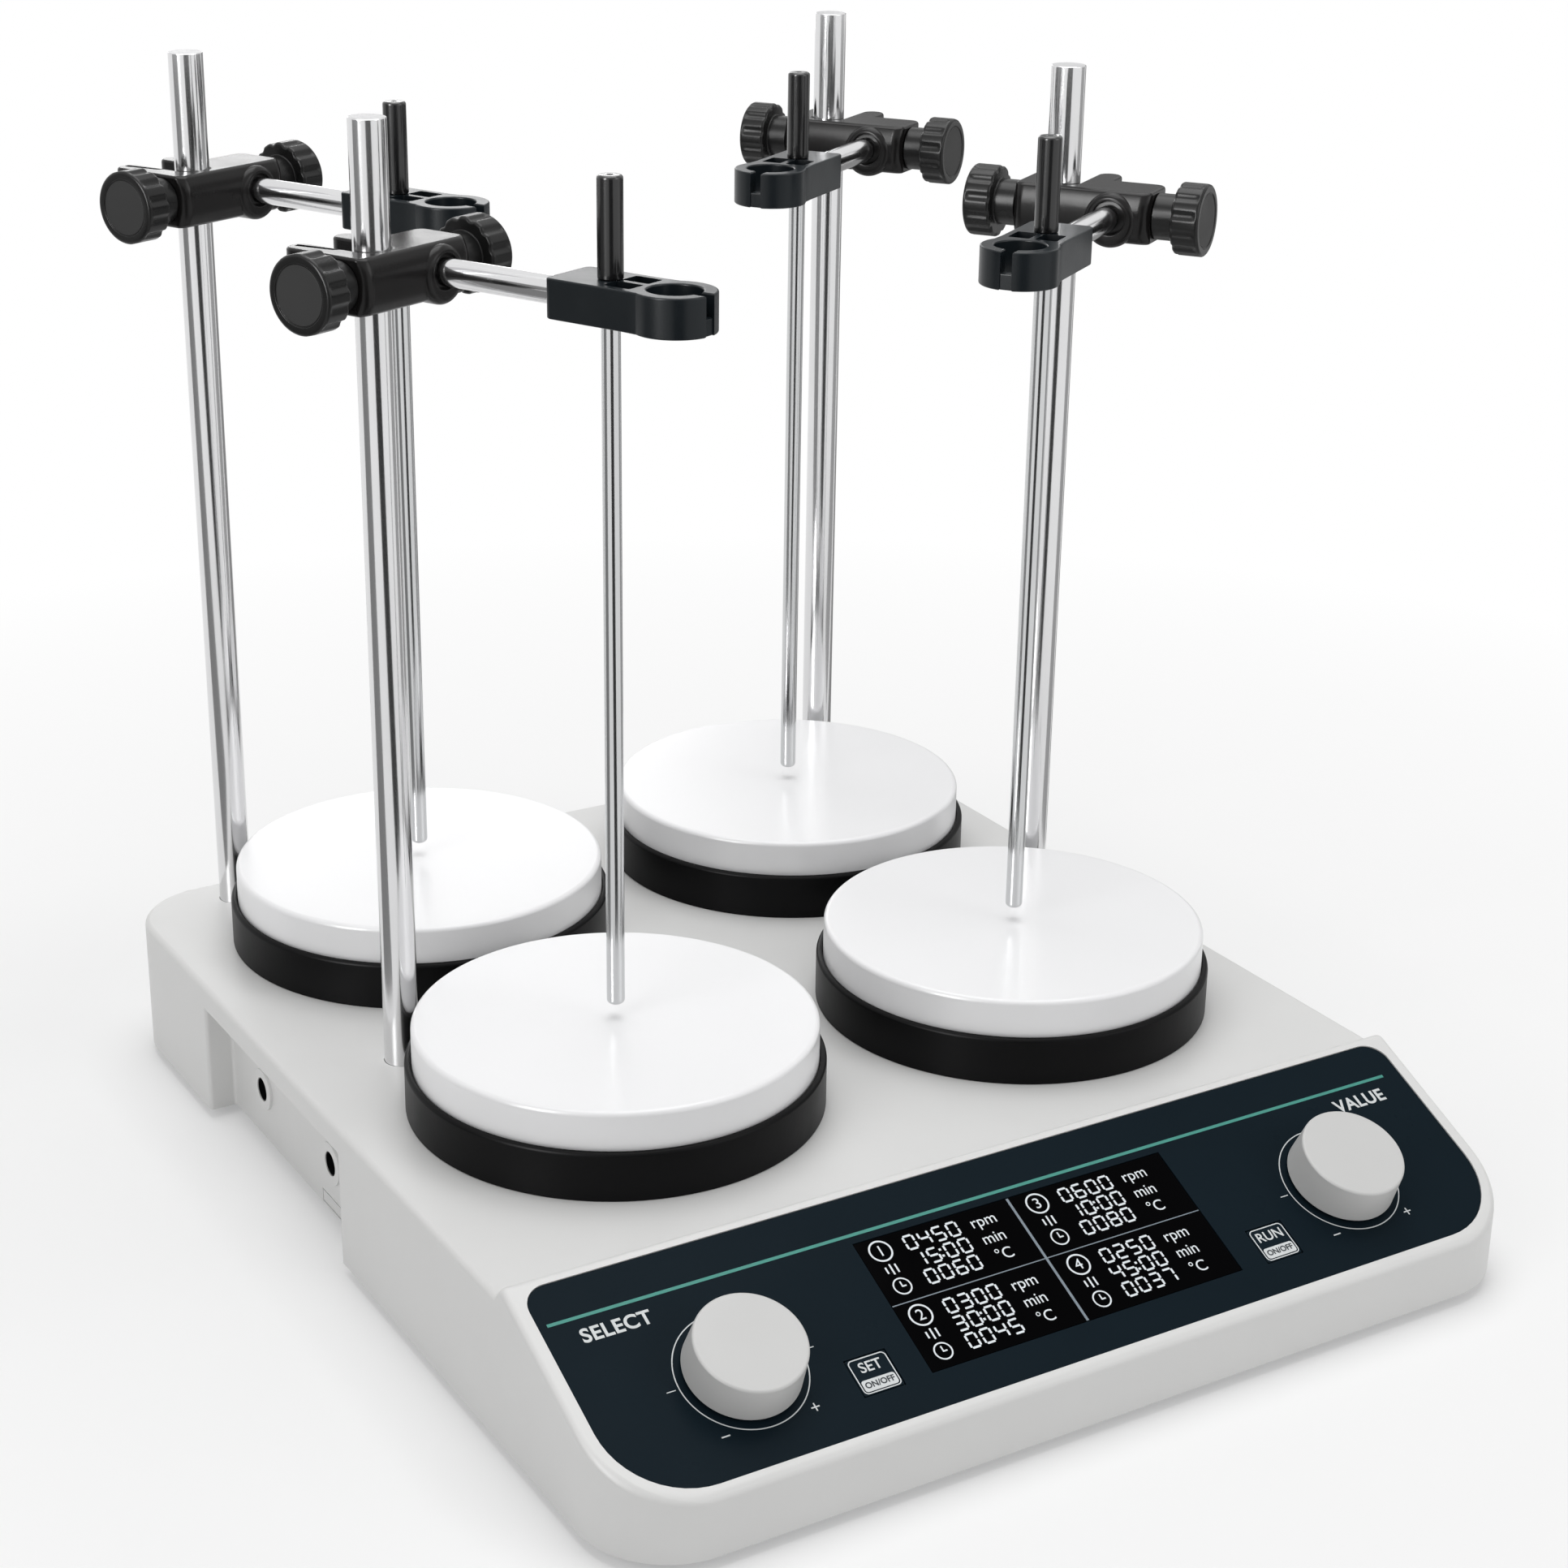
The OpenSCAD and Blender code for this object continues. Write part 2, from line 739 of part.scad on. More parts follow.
// Drive shaft, magnet carrier and two magnets, turning together
module stir_magnet(i) {
    shaft_below = motor_h - bore_floor - clamp_gap;
    color("steelblue")
    translate([plate_x(i), plate_y(i), carrier_z])
        union() {
            cylinder(r = carrier_r, h = carrier_t);
            for (sx = [-1, 1])
                translate([sx * magnet_offset, 0, carrier_t])
                    cylinder(r = magnet_r, h = magnet_h);
            translate([0, 0, -drive_gap - shaft_below])
                cylinder(r = drive_r, h = drive_gap + shaft_below + carrier_t / 2);
        }
}

module panel_overlay() {
    color("darkslategray")
    on_panel()
        difference() {
            translate([0, 0, -pocket])
                linear_extrude(overlay_t)
                    overlay_outline(panel_gap / 2);
            translate([0, -display_at, -overlay_sink])
                cube([display_w, display_len, 4 * overlay_t], center = true);
            for (sx = [-1, 1]) {
                translate([sx * knob_x, -knob_at, -2 * pocket])
                    cylinder(r = bush_r + run_gap, h = 4 * pocket);
                translate([sx * key_x, -key_at, -overlay_sink])
                    cube([key_hole_w, key_hole_len, 4 * overlay_t], center = true);
            }
        }
}

// Display with its glass in the overlay's window and its rim behind the overlay, standing on the board
module display_module() {
    color("black")
    on_panel()
        translate([0, -display_at, 0])
            union() {
                translate([0, 0, -pocket - display_t / 2])
                    cube([module_w, module_len, display_t], center = true);
                translate([0, 0, -overlay_sink - overlay_t / 2 - panel_gap / 2])
                    cube([glass_w, glass_len, overlay_t], center = true);
                for (sx = [-1, 1])
                    translate([sx * display_w / 3, 0, -board_below])
                        cylinder(r = board_post_r, h = board_below - pocket - display_t / 2);
            }
}

module control_board() {
    color("green")
    on_panel()
        translate([0, -board_at, -board_below - board_t / 2])
            cube([board_w, board_len, board_t], center = true);
}

module power_board() {
    bulk = power_w / 3;
    color("darkgreen")
    translate([0, body_mid + plate_grid_back, power_z])
        union() {
            translate([-power_w / 2, -power_d / 2, 0])
                cube([power_w, power_d, board_t]);
            translate([-bulk, -bulk, board_t / 2])
                cube([2 * bulk, 2 * bulk, bulk]);
            for (sy = [-1, 1])
                translate([0, sy * 2 * bulk, board_t / 2])
                    cylinder(r = bulk / 3, h = bulk);
        }
}

module encoder_bodies() {
    case_w = 14;
    top = -panel_skin;
    color("gray")
    on_panel()
        for (sx = [-1, 1])
            translate([sx * knob_x, -knob_at, 0])
                difference() {
                    union() {
                        translate([0, 0, (top - board_below) / 2])
                            cube([case_w, case_w, board_below + top], center = true);
                        translate([0, 0, top - 1])
                            cylinder(r = bush_r, h = panel_skin + 1 - overlay_sink);
                    }
                    translate([0, 0, encoder_floor - board_below])
                        cylinder(r = shaft_r + run_gap, h = board_below + lip_h);
                }
}

// Shaft that turns with its knob and lets the knob be pushed along it
module encoder_shaft(sx) {
    low = encoder_floor + panel_gap - board_below;
    color("silver")
    on_panel()
        translate([sx * knob_x, -knob_at, low])
            cylinder(r = shaft_r, h = knob_base + knob_h - knob_wall - push_room - low);
}

module panel_knob(sx) {
    rim = 1;
    color("gainsboro")
    on_panel()
        translate([sx * knob_x, -knob_at, knob_base])
            difference() {
                union() {
                    cylinder(r = knob_r, h = knob_h - rim);
                    translate([0, 0, knob_h - rim])
                        cylinder(r1 = knob_r, r2 = knob_r - rim, h = rim);
                }
                translate([0, 0, -1])
                    difference() {
                        cylinder(r = knob_r - knob_wall, h = knob_h - knob_wall + 1);
                        cylinder(r = hub_r, h = knob_h + 1);
                    }
                translate([0, 0, -1])
                    cylinder(r = shaft_r + run_gap, h = knob_h - knob_wall + 1);
                translate([0, 0, -1])
                    cylinder(r = hub_r + 1, h = 1 + knob_h - knob_wall - shaft_grip);
            }
}

module key_switches() {
    switch_w = 6;
    color("black")
    on_panel()
        for (sx = [-1, 1])
            translate([sx * key_x, -key_at, (-overlay_sink - key_t - key_room - board_below) / 2])
                cube([switch_w, switch_w, board_below - overlay_sink - key_t - key_room], center = true);
}

module panel_key(sx) {
    color("slategray")
    on_panel()
        translate([sx * key_x, -key_at, -overlay_sink - key_t / 2])
            cube([key_w, key_len, key_t], center = true);
}

// Frames of the four sensor sockets, with Z pointing out of the recess wall
module sensor_socket_places() {
    for (sx = [-1, 1], sy = [-1, 1])
        translate([sx * recess_x, socket_mid + sy * socket_pitch / 2, socket_z])
            rotate([0, sx * 90, 0])
                children();
}

module sensor_sockets() {
    flange = 0.6;
    color("black")
    sensor_socket_places()
        difference() {
            union() {
                translate([0, 0, -socket_depth - socket_wall])
                    cylinder(r = socket_r + socket_wall, h = socket_depth + socket_wall);
                cylinder(r = socket_r + 2 * socket_wall, h = flange);
            }
            translate([0, 0, -socket_depth])
                cylinder(r = socket_r, h = socket_depth + 1);
        }
}

// Mains socket and switch frame in one insert behind the rear wall
module mains_inlet() {
    switch_w = rocker_w + 2 * rocker_gap;
    switch_h = rocker_h + 2 * rocker_gap;
    color("black")
    translate([inlet_x, back_y, inlet_z])
        difference() {
            union() {
                translate([-inlet_w / 2, 0, -inlet_h / 2])
                    cube([inlet_w, inlet_flange, inlet_h]);
                translate([-inlet_body_w / 2, -inlet_depth, -inlet_body_h / 2])
                    cube([inlet_body_w, inlet_depth + inlet_flange / 2, inlet_body_h]);
            }
            translate([-inlet_split - socket_w / 2, inlet_flange - socket_deep, -socket_tall / 2])
                cube([socket_w, socket_deep + 1, socket_tall]);
            translate([inlet_split - switch_w / 2, inlet_flange - socket_deep, -switch_h / 2])
                cube([switch_w, socket_deep + 1, switch_h]);
            translate([inlet_split, -rocker_pin_r - 1, 0])
                rotate([0, 90, 0])
                    cylinder(r = rocker_pin_r + run_gap, h = pin_len + 2 * panel_gap, center = true);
        }
}

// Rocker with two flat halves, tilted to one side at rest, and its pivot pin
module power_rocker() {
    depth = 6;
    half = rocker_h / 2 - 1;
    color("black")
    translate([inlet_x + inlet_split, back_y - rocker_pin_r - 1, inlet_z])
        rotate([rocker_tilt, 0, 0])
            union() {
                translate([-rocker_w / 2, -depth / 2, 0])
                    rotate([90, 0, 90])
                        linear_extrude(rocker_w)
                            polygon([
                                [0, -half],
                                [depth + 1, -half],
                                [depth - 1, 0],
                                [depth + 1, half],
                                [0, half]
                            ]);
                rotate([0, 90, 0])
                    cylinder(r = rocker_pin_r, h = pin_len, center = true);
            }
}

module support_rod(i) {
    low = deck_z - rod_seat + run_gap;
    color("lightsteelblue")
    translate([rod_x(i), rod_y(i), low])
        union() {
            cylinder(r = rod_r, h = rod_top - low - rod_bevel);
            translate([0, 0, rod_top - low - rod_bevel])
                cylinder(r1 = rod_r, r2 = rod_r - rod_bevel, h = rod_bevel);
        }
}

// Plan of a boss clamp: a rounded block with two prongs, open between them for the rod
module boss_plan() {
    prong_w = boss_rod_end - rod_bore_r;
    length = boss_rod_end + cross_offset + boss_arm_end;
    difference() {
        union() {
            translate([length / 2 - boss_rod_end, 0])
                rounded_rect(length, boss_depth, boss_corner);
            for (sx = [-1, 1])
                translate([sx * (rod_bore_r + prong_w / 2), 0]) {
                    translate([-prong_w / 2, 0])
                        square([prong_w, jaw_len - prong_w / 2]);
                    translate([0, jaw_len - prong_w / 2])
                        circle(prong_w / 2);
                }
        }
        circle(rod_bore_r);
        translate([-rod_bore_r, 0])
            square([2 * rod_bore_r, jaw_len + 1]);
    }
}

// Block with an open jaw for the rod and a collared bore for the cross arm
module boss_clamp(i) {
    color("dimgray")
    on_rod(i)
        difference() {
            union() {
                translate([0, 0, -boss_h / 2])
                    linear_extrude(boss_h)
                        boss_plan();
                translate([cross_offset, 0, 0])
                    rotate([90, 0, 0])
                        cylinder(r = collar_r, h = boss_depth / 2 + collar_rise);
            }
            translate([cross_offset, 0, 0])
                rotate([90, 0, 0])
                    cylinder(r = arm_bore_r, h = 2 * boss_depth, center = true);
            rotate([0, -90, 0])
                cylinder(r = stud_r + run_gap, h = boss_rod_end + 1);
            translate([cross_offset, 0, 0])
                rotate([0, 90, 0])
                    cylinder(r = stud_r + run_gap, h = boss_arm_end + 1);
        }
}

// Fluted knob with its neck and clamp screw; Z points out of the boss, from the boss's end
module clamp_knob(stud_len) {
    bevel = 1;
    color("black")
    union() {
        translate([0, 0, -stud_len])
            cylinder(r = stud_r, h = stud_len + neck_len + 1);
        translate([0, 0, clamp_gap])
            cylinder(r = neck_r, h = neck_len - clamp_gap + 1);
        translate([0, 0, neck_len])
            difference() {
                union() {
                    cylinder(r1 = grip_r - bevel, r2 = grip_r, h = bevel);
                    translate([0, 0, bevel])
                        cylinder(r = grip_r, h = grip_t - 2 * bevel);
                    translate([0, 0, grip_t - bevel])
                        cylinder(r1 = grip_r, r2 = grip_r - bevel, h = bevel);
                }
                for (k = [1:grip_flutes])
                    rotate(k * 360 / grip_flutes)
                        translate([grip_r + flute_r / 2, 0, -1])
                            cylinder(r = flute_r, h = grip_t + 2);
                translate([0, 0, grip_t - face_inset])
                    cylinder(r = grip_r - face_rim, h = 1);
            }
    }
}

module rod_clamp_knob(i) {
    on_rod(i)
        translate([-boss_rod_end, 0, 0])
            rotate([0, -90, 0])
                clamp_knob(boss_rod_end - rod_r - clamp_gap);
}

module arm_clamp_knob(i) {
    on_rod(i)
        translate([cross_offset + boss_arm_end, 0, 0])
            rotate([0, 90, 0])
                clamp_knob(boss_arm_end - arm_r - clamp_gap);
}

module cross_arm(i) {
    length = arm_tail + arm_reach - holder_back + arm_seat;
    color("lightsteelblue")
    on_rod(i)
        translate([cross_offset, arm_tail, 0])
            rotate([90, 0, 0])
                cylinder(r = arm_r, h = length);
}

// Block that carries the probe, with an open ring at its free end
module sensor_holder(i) {
    ring_out = holder_ring_r + holder_ring_wall;
    pocket_from = handle_r + pocket_web;
    pocket_to = holder_ring_at - holder_ring_r - pocket_web;
    slot_w = (pocket_w - pocket_rib) / 2;
    color("darkslategray")
    on_probe(i)
        difference() {
            translate([0, 0, -holder_h / 2])
                union() {
                    translate([-holder_w / 2, -holder_ring_at, 0])
                        cube([holder_w, holder_ring_at + holder_back, holder_h]);
                    translate([0, -holder_ring_at, 0])
                        cylinder(r = ring_out, h = holder_h);
                }
            translate([0, -holder_ring_at, -holder_h])
                cylinder(r = holder_ring_r, h = 2 * holder_h);
            translate([-slit_w / 2, -holder_ring_at - 2 * ring_out, holder_h / 2 - slit_depth])
                cube([slit_w, 2 * ring_out, slit_depth + 1]);
            translate([0, 0, -holder_h])
                cylinder(r = sheath_r + run_gap, h = 2 * holder_h);
            translate([0, holder_back + 1, 0])
                rotate([90, 0, 0])
                    cylinder(r = arm_r + seat_gap, h = arm_seat + 1);
            for (slot_x = [-pocket_w / 2, pocket_rib / 2])
                translate([slot_x, -pocket_to, holder_h / 2 - pocket_depth])
                    cube([slot_w, pocket_to - pocket_from, pocket_depth + 1]);
        }
}

module probe_sheath(i) {
    low = plate_top + tip_clear - boss_mid;
    high = holder_h / 2 + handle_seat;
    color("lightsteelblue")
    on_probe(i)
        union() {
            translate([0, 0, low + sheath_r])
                cylinder(r = sheath_r, h = high - low - sheath_r);
            translate([0, 0, low + sheath_r])
                sphere(sheath_r);
        }
}

module probe_handle(i) {
    color("black")
    on_probe(i)
        translate([0, 0, holder_h / 2 + run_gap])
            difference() {
                union() {
                    cylinder(r = handle_r, h = handle_len - handle_bevel);
                    translate([0, 0, handle_len - handle_bevel])
                        cylinder(r1 = handle_r, r2 = handle_r - handle_bevel, h = handle_bevel);
                }
                translate([0, 0, -1])
                    cylinder(r = sheath_r + seat_gap, h = handle_seat + 1);
                cylinder(r = handle_hole_r, h = handle_len + 1);
            }
}

housing();
base_plate();
feet();
base_screws();
insulating_rings();
heating_plates();
heater_discs();
motor_brackets();
stir_motors();
panel_overlay();
display_module();
control_board();
power_board();
encoder_bodies();
encoder_shaft(-1);  // left_encoder_shaft
encoder_shaft(1);  // right_encoder_shaft
panel_knob(-1);  // left_knob
panel_knob(1);  // right_knob
key_switches();
panel_key(-1);  // left_key
panel_key(1);  // right_key
sensor_sockets();
mains_inlet();
power_rocker();
for (i = stations) {
    stir_magnet(i);
    support_rod(i);
    boss_clamp(i);
    rod_clamp_knob(i);
    arm_clamp_knob(i);
    cross_arm(i);
    sensor_holder(i);
    probe_sheath(i);
    probe_handle(i);
}
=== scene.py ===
"""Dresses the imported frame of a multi-position hotplate stirrer.

Housing, plates, stands, probes and panel print are surfaces of their own; the other nodes get a finish.
"""
import json

import bmesh
import bpy
import numpy as np
from bpy.props import FloatProperty, FloatVectorProperty, IntProperty, PointerProperty, StringProperty
from mathutils import Matrix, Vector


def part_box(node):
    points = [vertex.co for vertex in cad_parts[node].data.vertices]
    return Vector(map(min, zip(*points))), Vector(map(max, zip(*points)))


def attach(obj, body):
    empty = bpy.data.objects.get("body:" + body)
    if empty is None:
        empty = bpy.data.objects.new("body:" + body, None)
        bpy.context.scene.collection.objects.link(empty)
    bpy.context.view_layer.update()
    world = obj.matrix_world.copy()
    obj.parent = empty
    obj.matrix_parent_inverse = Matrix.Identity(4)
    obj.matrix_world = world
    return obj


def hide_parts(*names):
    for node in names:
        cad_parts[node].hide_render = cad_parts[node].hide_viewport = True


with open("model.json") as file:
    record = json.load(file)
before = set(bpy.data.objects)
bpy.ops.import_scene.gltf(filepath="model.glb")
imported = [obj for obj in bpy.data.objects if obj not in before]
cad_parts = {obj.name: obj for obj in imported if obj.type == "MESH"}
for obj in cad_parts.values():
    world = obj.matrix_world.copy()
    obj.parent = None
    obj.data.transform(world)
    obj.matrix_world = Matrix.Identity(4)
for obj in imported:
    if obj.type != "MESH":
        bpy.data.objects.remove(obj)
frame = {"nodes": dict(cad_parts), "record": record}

bl_info = {
    "name": "Hotplate stirrer dressing",
    "version": (1, 0, 0),
    "blender": (4, 5, 0),
    "location": "View3D > Sidebar > Stirrer",
    "description": "Builds the visible surfaces and finishes of a multi-position hotplate stirrer",
    "category": "Object",
}

MM = 0.001
FLOAT, PRINT = 0.01, 0.06  # height of all print over its ground, and its thickness, in millimetres
CREASE = np.radians(38)  # edges below this angle are shaded smooth
STATIONS = (1, 2, 3, 4)
SIDES = {"left": -1, "right": 1}
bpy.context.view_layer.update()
JOINTS = {joint["name"]: joint for joint in frame["record"]["behaviour"]["joints"]}
MOUNTS = {mount["name"]: mount for mount in frame["record"]["mounts"]}
SOCKETS = [row for name, row in MOUNTS.items() if name.startswith("sensor_socket")]
TURN = 2 * np.pi


def box(node):
    """Lowest and highest corner of a CAD node, in millimetres."""
    return [np.array(corner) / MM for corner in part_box(node)]


def spot(row):
    """Place of a joint or mount, in millimetres."""
    return np.array(row["pos_m"]) / MM


def round_size(node, offset=0.0):
    """Radius, lowest and highest level of an upright round node, or of four in a square at an offset."""
    low, high = box(node)
    return (high[0] - low[0]) / 2 - offset, low[2], high[2]


# The frame's own measures, in millimetres
HOUSE_LOW, HOUSE_HIGH = box("housing")
DECK_Z = spot(JOINTS["rod_swivel_1"])[2]
PLATE_MIDDLE = {i: spot(MOUNTS[f"plate_rest_{i}"]) for i in STATIONS}
ROD_FOOT = {i: spot(JOINTS[f"rod_swivel_{i}"]) for i in STATIONS}
PANEL_OUT = np.array(JOINTS["left_knob_turn"]["axis"])
PANEL_DOWN = np.array([0.0, -PANEL_OUT[2], PANEL_OUT[1]])

# Measures that the frame doesn't state, in millimetres
OVERLAY_GAP, OVERLAY_T, OVERLAY_SINK, OVERLAY_DOWN = 0.15, 1.2, 0.4, 3.0
RECESS_Y, RECESS_TOP = (-12.467, 109.533), 45.0
KEY_HALF = np.array([7.0, 6.5])
CROSS = 21.0  # from the rod's axis to the cross arm's
ARM_R, ARM_BACK, ARM_SEAT = 4.5, 22.0, 10.0  # radius, end behind the boss clamp, length inside the sensor holder
HOLDER_BACK = 17.0


def panel_origin():
    """Middle of the overlay's top edge on its upper face, from the overlay's box."""
    high = box("panel_overlay")[1]
    z = high[2] - OVERLAY_GAP * PANEL_DOWN[2]
    y = high[1] - OVERLAY_GAP * PANEL_DOWN[1] + OVERLAY_T * PANEL_OUT[1]
    return np.array([0.0, y, z])


PANEL_AT = panel_origin()
PANEL = (PANEL_AT, np.stack([[1.0, 0.0, 0.0], PANEL_DOWN, PANEL_OUT]))


def on_panel(point):
    """A point's place across the panel and down it."""
    return ((point - PANEL_AT) @ PANEL[1].T)[:2]


KNOB_AT = {side: on_panel(spot(JOINTS[f"{side}_knob_turn"])) for side in SIDES}
KEY_AT = {side: on_panel(np.add(*box(f"{side}_key")) / 2) for side in SIDES}


def shade(red, green, blue):
    """Linear colour of an sRGB colour given from 0 to 255."""
    value = np.array([red, green, blue]) / 255
    return tuple(np.where(value <= 0.04045, value / 12.92, ((value + 0.055) / 1.055) ** 2.4).tolist())


def size_prop(name, description, millimetres):
    """A length that the sidebar shows."""
    return FloatProperty(name=name, description=description, default=millimetres * MM, min=0.0, unit="LENGTH")


def colour_prop(name, description, colour):
    """A colour that the sidebar shows."""
    return FloatVectorProperty(name=name, description=description, default=colour, size=3, min=0.0, max=1.0,
                               subtype="COLOR")


class StirrerHousing(bpy.types.PropertyGroup):
    """Sizes and colours of the housing, rings and plates."""
    corner: size_prop("Corner radius", "Radius of the housing's upright corners", 30)
    edge: size_prop("Edge radius", "Rounding between the housing's top and its walls", 2.3)
    wall: size_prop("Wall", "Thickness of the moulded housing", 3)
    lip_run: size_prop("Lip run", "Length of the slope behind the raised lip", 4)
    recess: size_prop("Recess depth", "Depth of the hand recesses in the sides", 10)
    recess_turn: size_prop("Recess turn", "Rounding of the hand recess's outer upright edges", 1.4)
    ring_edge: size_prop("Ring edge", "Rounding of the insulating rings", 1.4)
    plate_edge: size_prop("Plate edge", "Rounding of the heating plates", 1.8)
    white: colour_prop("Housing white", "Colour of the moulded housing", shade(219, 219, 218))
    plate: colour_prop("Plate white", "Colour of the glazed heating plates", shade(245, 245, 246))
    ring: colour_prop("Ring black", "Colour of the insulating rings", shade(14, 14, 15))


class StirrerPanel(bpy.types.PropertyGroup):
    """Sizes, colours and words of the front panel."""
    knob_edge: size_prop("Knob edge", "Rounding of the panel knobs' faces", 0.9)
    dial: size_prop("Dial ring", "Radius of the thin ring printed round each knob", 20.6)
    digit: size_prop("Digit height", "Height of the display's figures", 5.0)
    navy: colour_prop("Panel navy", "Colour of the panel overlay", shade(19, 30, 37))
    ink: colour_prop("White ink", "Colour of the panel's print", shade(214, 218, 219))
    teal: colour_prop("Teal line", "Colour of the line across the panel", shade(50, 140, 127))
    glow: colour_prop("Display figures", "Colour of the display's figures", shade(214, 220, 224))
    knob: colour_prop("Knob grey", "Colour of the panel knobs", shade(202, 202, 201))
    left_word: StringProperty(name="Left word", description="Word above the left knob", default="SELECT")
    right_word: StringProperty(name="Right word", description="Word above the right knob", default="VALUE")


class StirrerStands(bpy.types.PropertyGroup):
    """Sizes and colours of the rods, boss clamps, holders and probes."""
    boss_edge: size_prop("Boss edge", "Rounding of the boss clamps' upper and lower edges", 1.1)
    boss_bulge: size_prop("Boss bulge", "How far the boss clamps' front swells at mid height", 2.4)
    boss_sag: size_prop("Boss sag", "How far the mouth round the cross arm sags below its axis", 1.1)
    flute: size_prop("Flute depth", "Depth of the hollows round the clamp knobs", 0.75)
    flutes: IntProperty(name="Flutes", description="Hollows round a clamp knob", default=12, min=3)
    holder_edge: size_prop("Holder edge", "Rounding of the sensor holders' edges", 0.6)
    chrome: colour_prop("Chrome", "Colour of the rods and arms", shade(222, 222, 223))
    boss: colour_prop("Boss grey", "Colour of the boss clamps", shade(23, 22, 22))
    grip: colour_prop("Grip black", "Colour of the clamp knobs", shade(24, 24, 24))
    holder: colour_prop("Holder black", "Colour of the sensor holders", shade(20, 26, 30))
    handle: colour_prop("Handle black", "Colour of the probe handles", shade(22, 22, 23))


class StirrerStage(bpy.types.PropertyGroup):
    """Floor, light and camera."""
    lens: FloatProperty(name="Lens", description="Focal length of the camera", default=66.9, unit="CAMERA")
    roll: FloatProperty(name="Roll", description="Turn of the picture", default=float(np.radians(-0.91)),
                        subtype="ANGLE")
    ambient: FloatProperty(name="Ambient", description="Strength of the even light", default=0.36)
    floor: colour_prop("Floor", "Colour of the pale floor", (0.9, 0.9, 0.9))


# Points and outlines


def unit(vector):
    """The vector at length one."""
    return np.asarray(vector, float) / np.linalg.norm(vector)


def between(start, end, count):
    """Evenly spaced values strictly between two ends."""
    return np.linspace(start, end, count + 2)[1:-1]


def eased(count):
    """Values from 0 to 1, 1 - cos a for equal steps of a up to a right angle."""
    return 1 - np.cos(np.linspace(0, np.pi / 2, count))


def rounded(points, radii, steps=6):
    """Polyline whose inner corners become arcs: each arc has its corner's radius and touches both legs."""
    points = np.asarray(points, float)
    parts = [points[:1]]
    for before, corner, after, radius in zip(points, points[1:], points[2:], radii):
        u, v = unit(before - corner), unit(after - corner)
        half = np.arccos(np.clip(u @ v, -1, 1)) / 2
        if radius <= 0 or half > np.pi / 2 - 1e-4:
            parts.append(corner[None])
            continue
        middle = corner + unit(u + v) * radius / np.sin(half)
        sweep = np.pi - 2 * half
        w = np.linspace(0, 1, steps + 1)[:, None]
        start, end = corner + u * radius / np.tan(half) - middle, corner + v * radius / np.tan(half) - middle
        parts.append(middle + (np.sin((1 - w) * sweep) * start + np.sin(w * sweep) * end) / np.sin(sweep))
    parts.append(points[-1:])
    line = np.vstack(parts)
    keep = np.r_[True, np.linalg.norm(np.diff(line, axis=0), axis=1) > 1e-6]
    return line[keep]


def rounded_loop(points, radii, steps=6):
    """Closed outline whose corners become arcs of their radii."""
    points = np.asarray(points, float)
    line = rounded(np.vstack([points[-1:], points, points[:1]]), radii, steps)[1:-1]
    return line if np.linalg.norm(line[0] - line[-1]) > 1e-6 else line[:-1]


def arc(middle, radius, start, end, steps):
    """Points on a circle from one angle to another, in degrees."""
    a = np.radians(np.linspace(start, end, steps + 1))
    return np.asarray(middle) + radius * np.stack([np.cos(a), np.sin(a)], axis=-1)


def circle(middle, radius, sides):
    """Outline of a circle."""
    return arc(middle, radius, 0, 360 - 360 / sides, sides - 1)


def rect(x0, t0, x1, t1, radius=0.0):
    """Outline of a rectangle between two corners, with round corners if asked."""
    corners = [(x0, t0), (x1, t0), (x1, t1), (x0, t1)]
    return rounded_loop(corners, [radius] * 4, 5) if radius else np.array(corners, float)


def centred(middle, half, radius=0.0):
    """Outline of a rectangle round its middle."""
    return rect(*np.subtract(middle, half), *np.add(middle, half), radius)


def strip(start, end, width):
    """Outline of a straight bar with square ends between two points."""
    start, end = np.asarray(start, float), np.asarray(end, float)
    side = unit([start[1] - end[1], end[0] - start[0]]) * width / 2
    return np.stack([start - side, end - side, end + side, start + side])


def plug(r, low, high, foot, head, steps=6):
    """Profile of a solid cylinder whose lower and upper edges are rounded."""
    return rounded([(0, low), (r, low), (r, high), (0, high)], (foot, head), steps)


def drawn_in(loop, distance):
    """Anticlockwise outline moved inwards: each point goes along its corner's mitre."""
    ahead = np.roll(loop, -1, axis=0) - loop
    ahead /= np.linalg.norm(ahead, axis=1, keepdims=True)
    inward = np.stack([-ahead[:, 1], ahead[:, 0]], axis=-1)
    mitre = inward + np.roll(inward, 1, axis=0)
    return loop + 2 * distance * mitre / np.sum(mitre ** 2, axis=1, keepdims=True)


def turned(profile, sides):
    """Surface of revolution: (r, h) turned by t gives (r cos t, r sin t, h)."""
    t = np.linspace(0, TURN, sides, endpoint=False)
    r, h = np.asarray(profile, float).T[:, :, None]
    return np.stack([r * np.cos(t), r * np.sin(t), h + 0 * t], axis=-1)


def upright(point, z=0.0):
    """Place on the vertical axis through a point, at a height: origin and three axes."""
    return np.array([*point[:2], z]), np.eye(3)


def along(origin, axis):
    """Place whose third axis is the given one: origin and three axes."""
    axis = unit(axis)
    first = unit(np.cross((0, 0, 1), axis))
    return np.asarray(origin, float), np.stack([first, np.cross(axis, first), axis])


def put(points, place):
    """Points carried from a place's own axes into the frame."""
    origin, axes = place
    return origin + points @ axes


# Objects and their surfaces


def linked(name, data):
    """A new object in the scene."""
    made = bpy.data.objects.new(name, data)
    bpy.context.collection.objects.link(made)
    return made


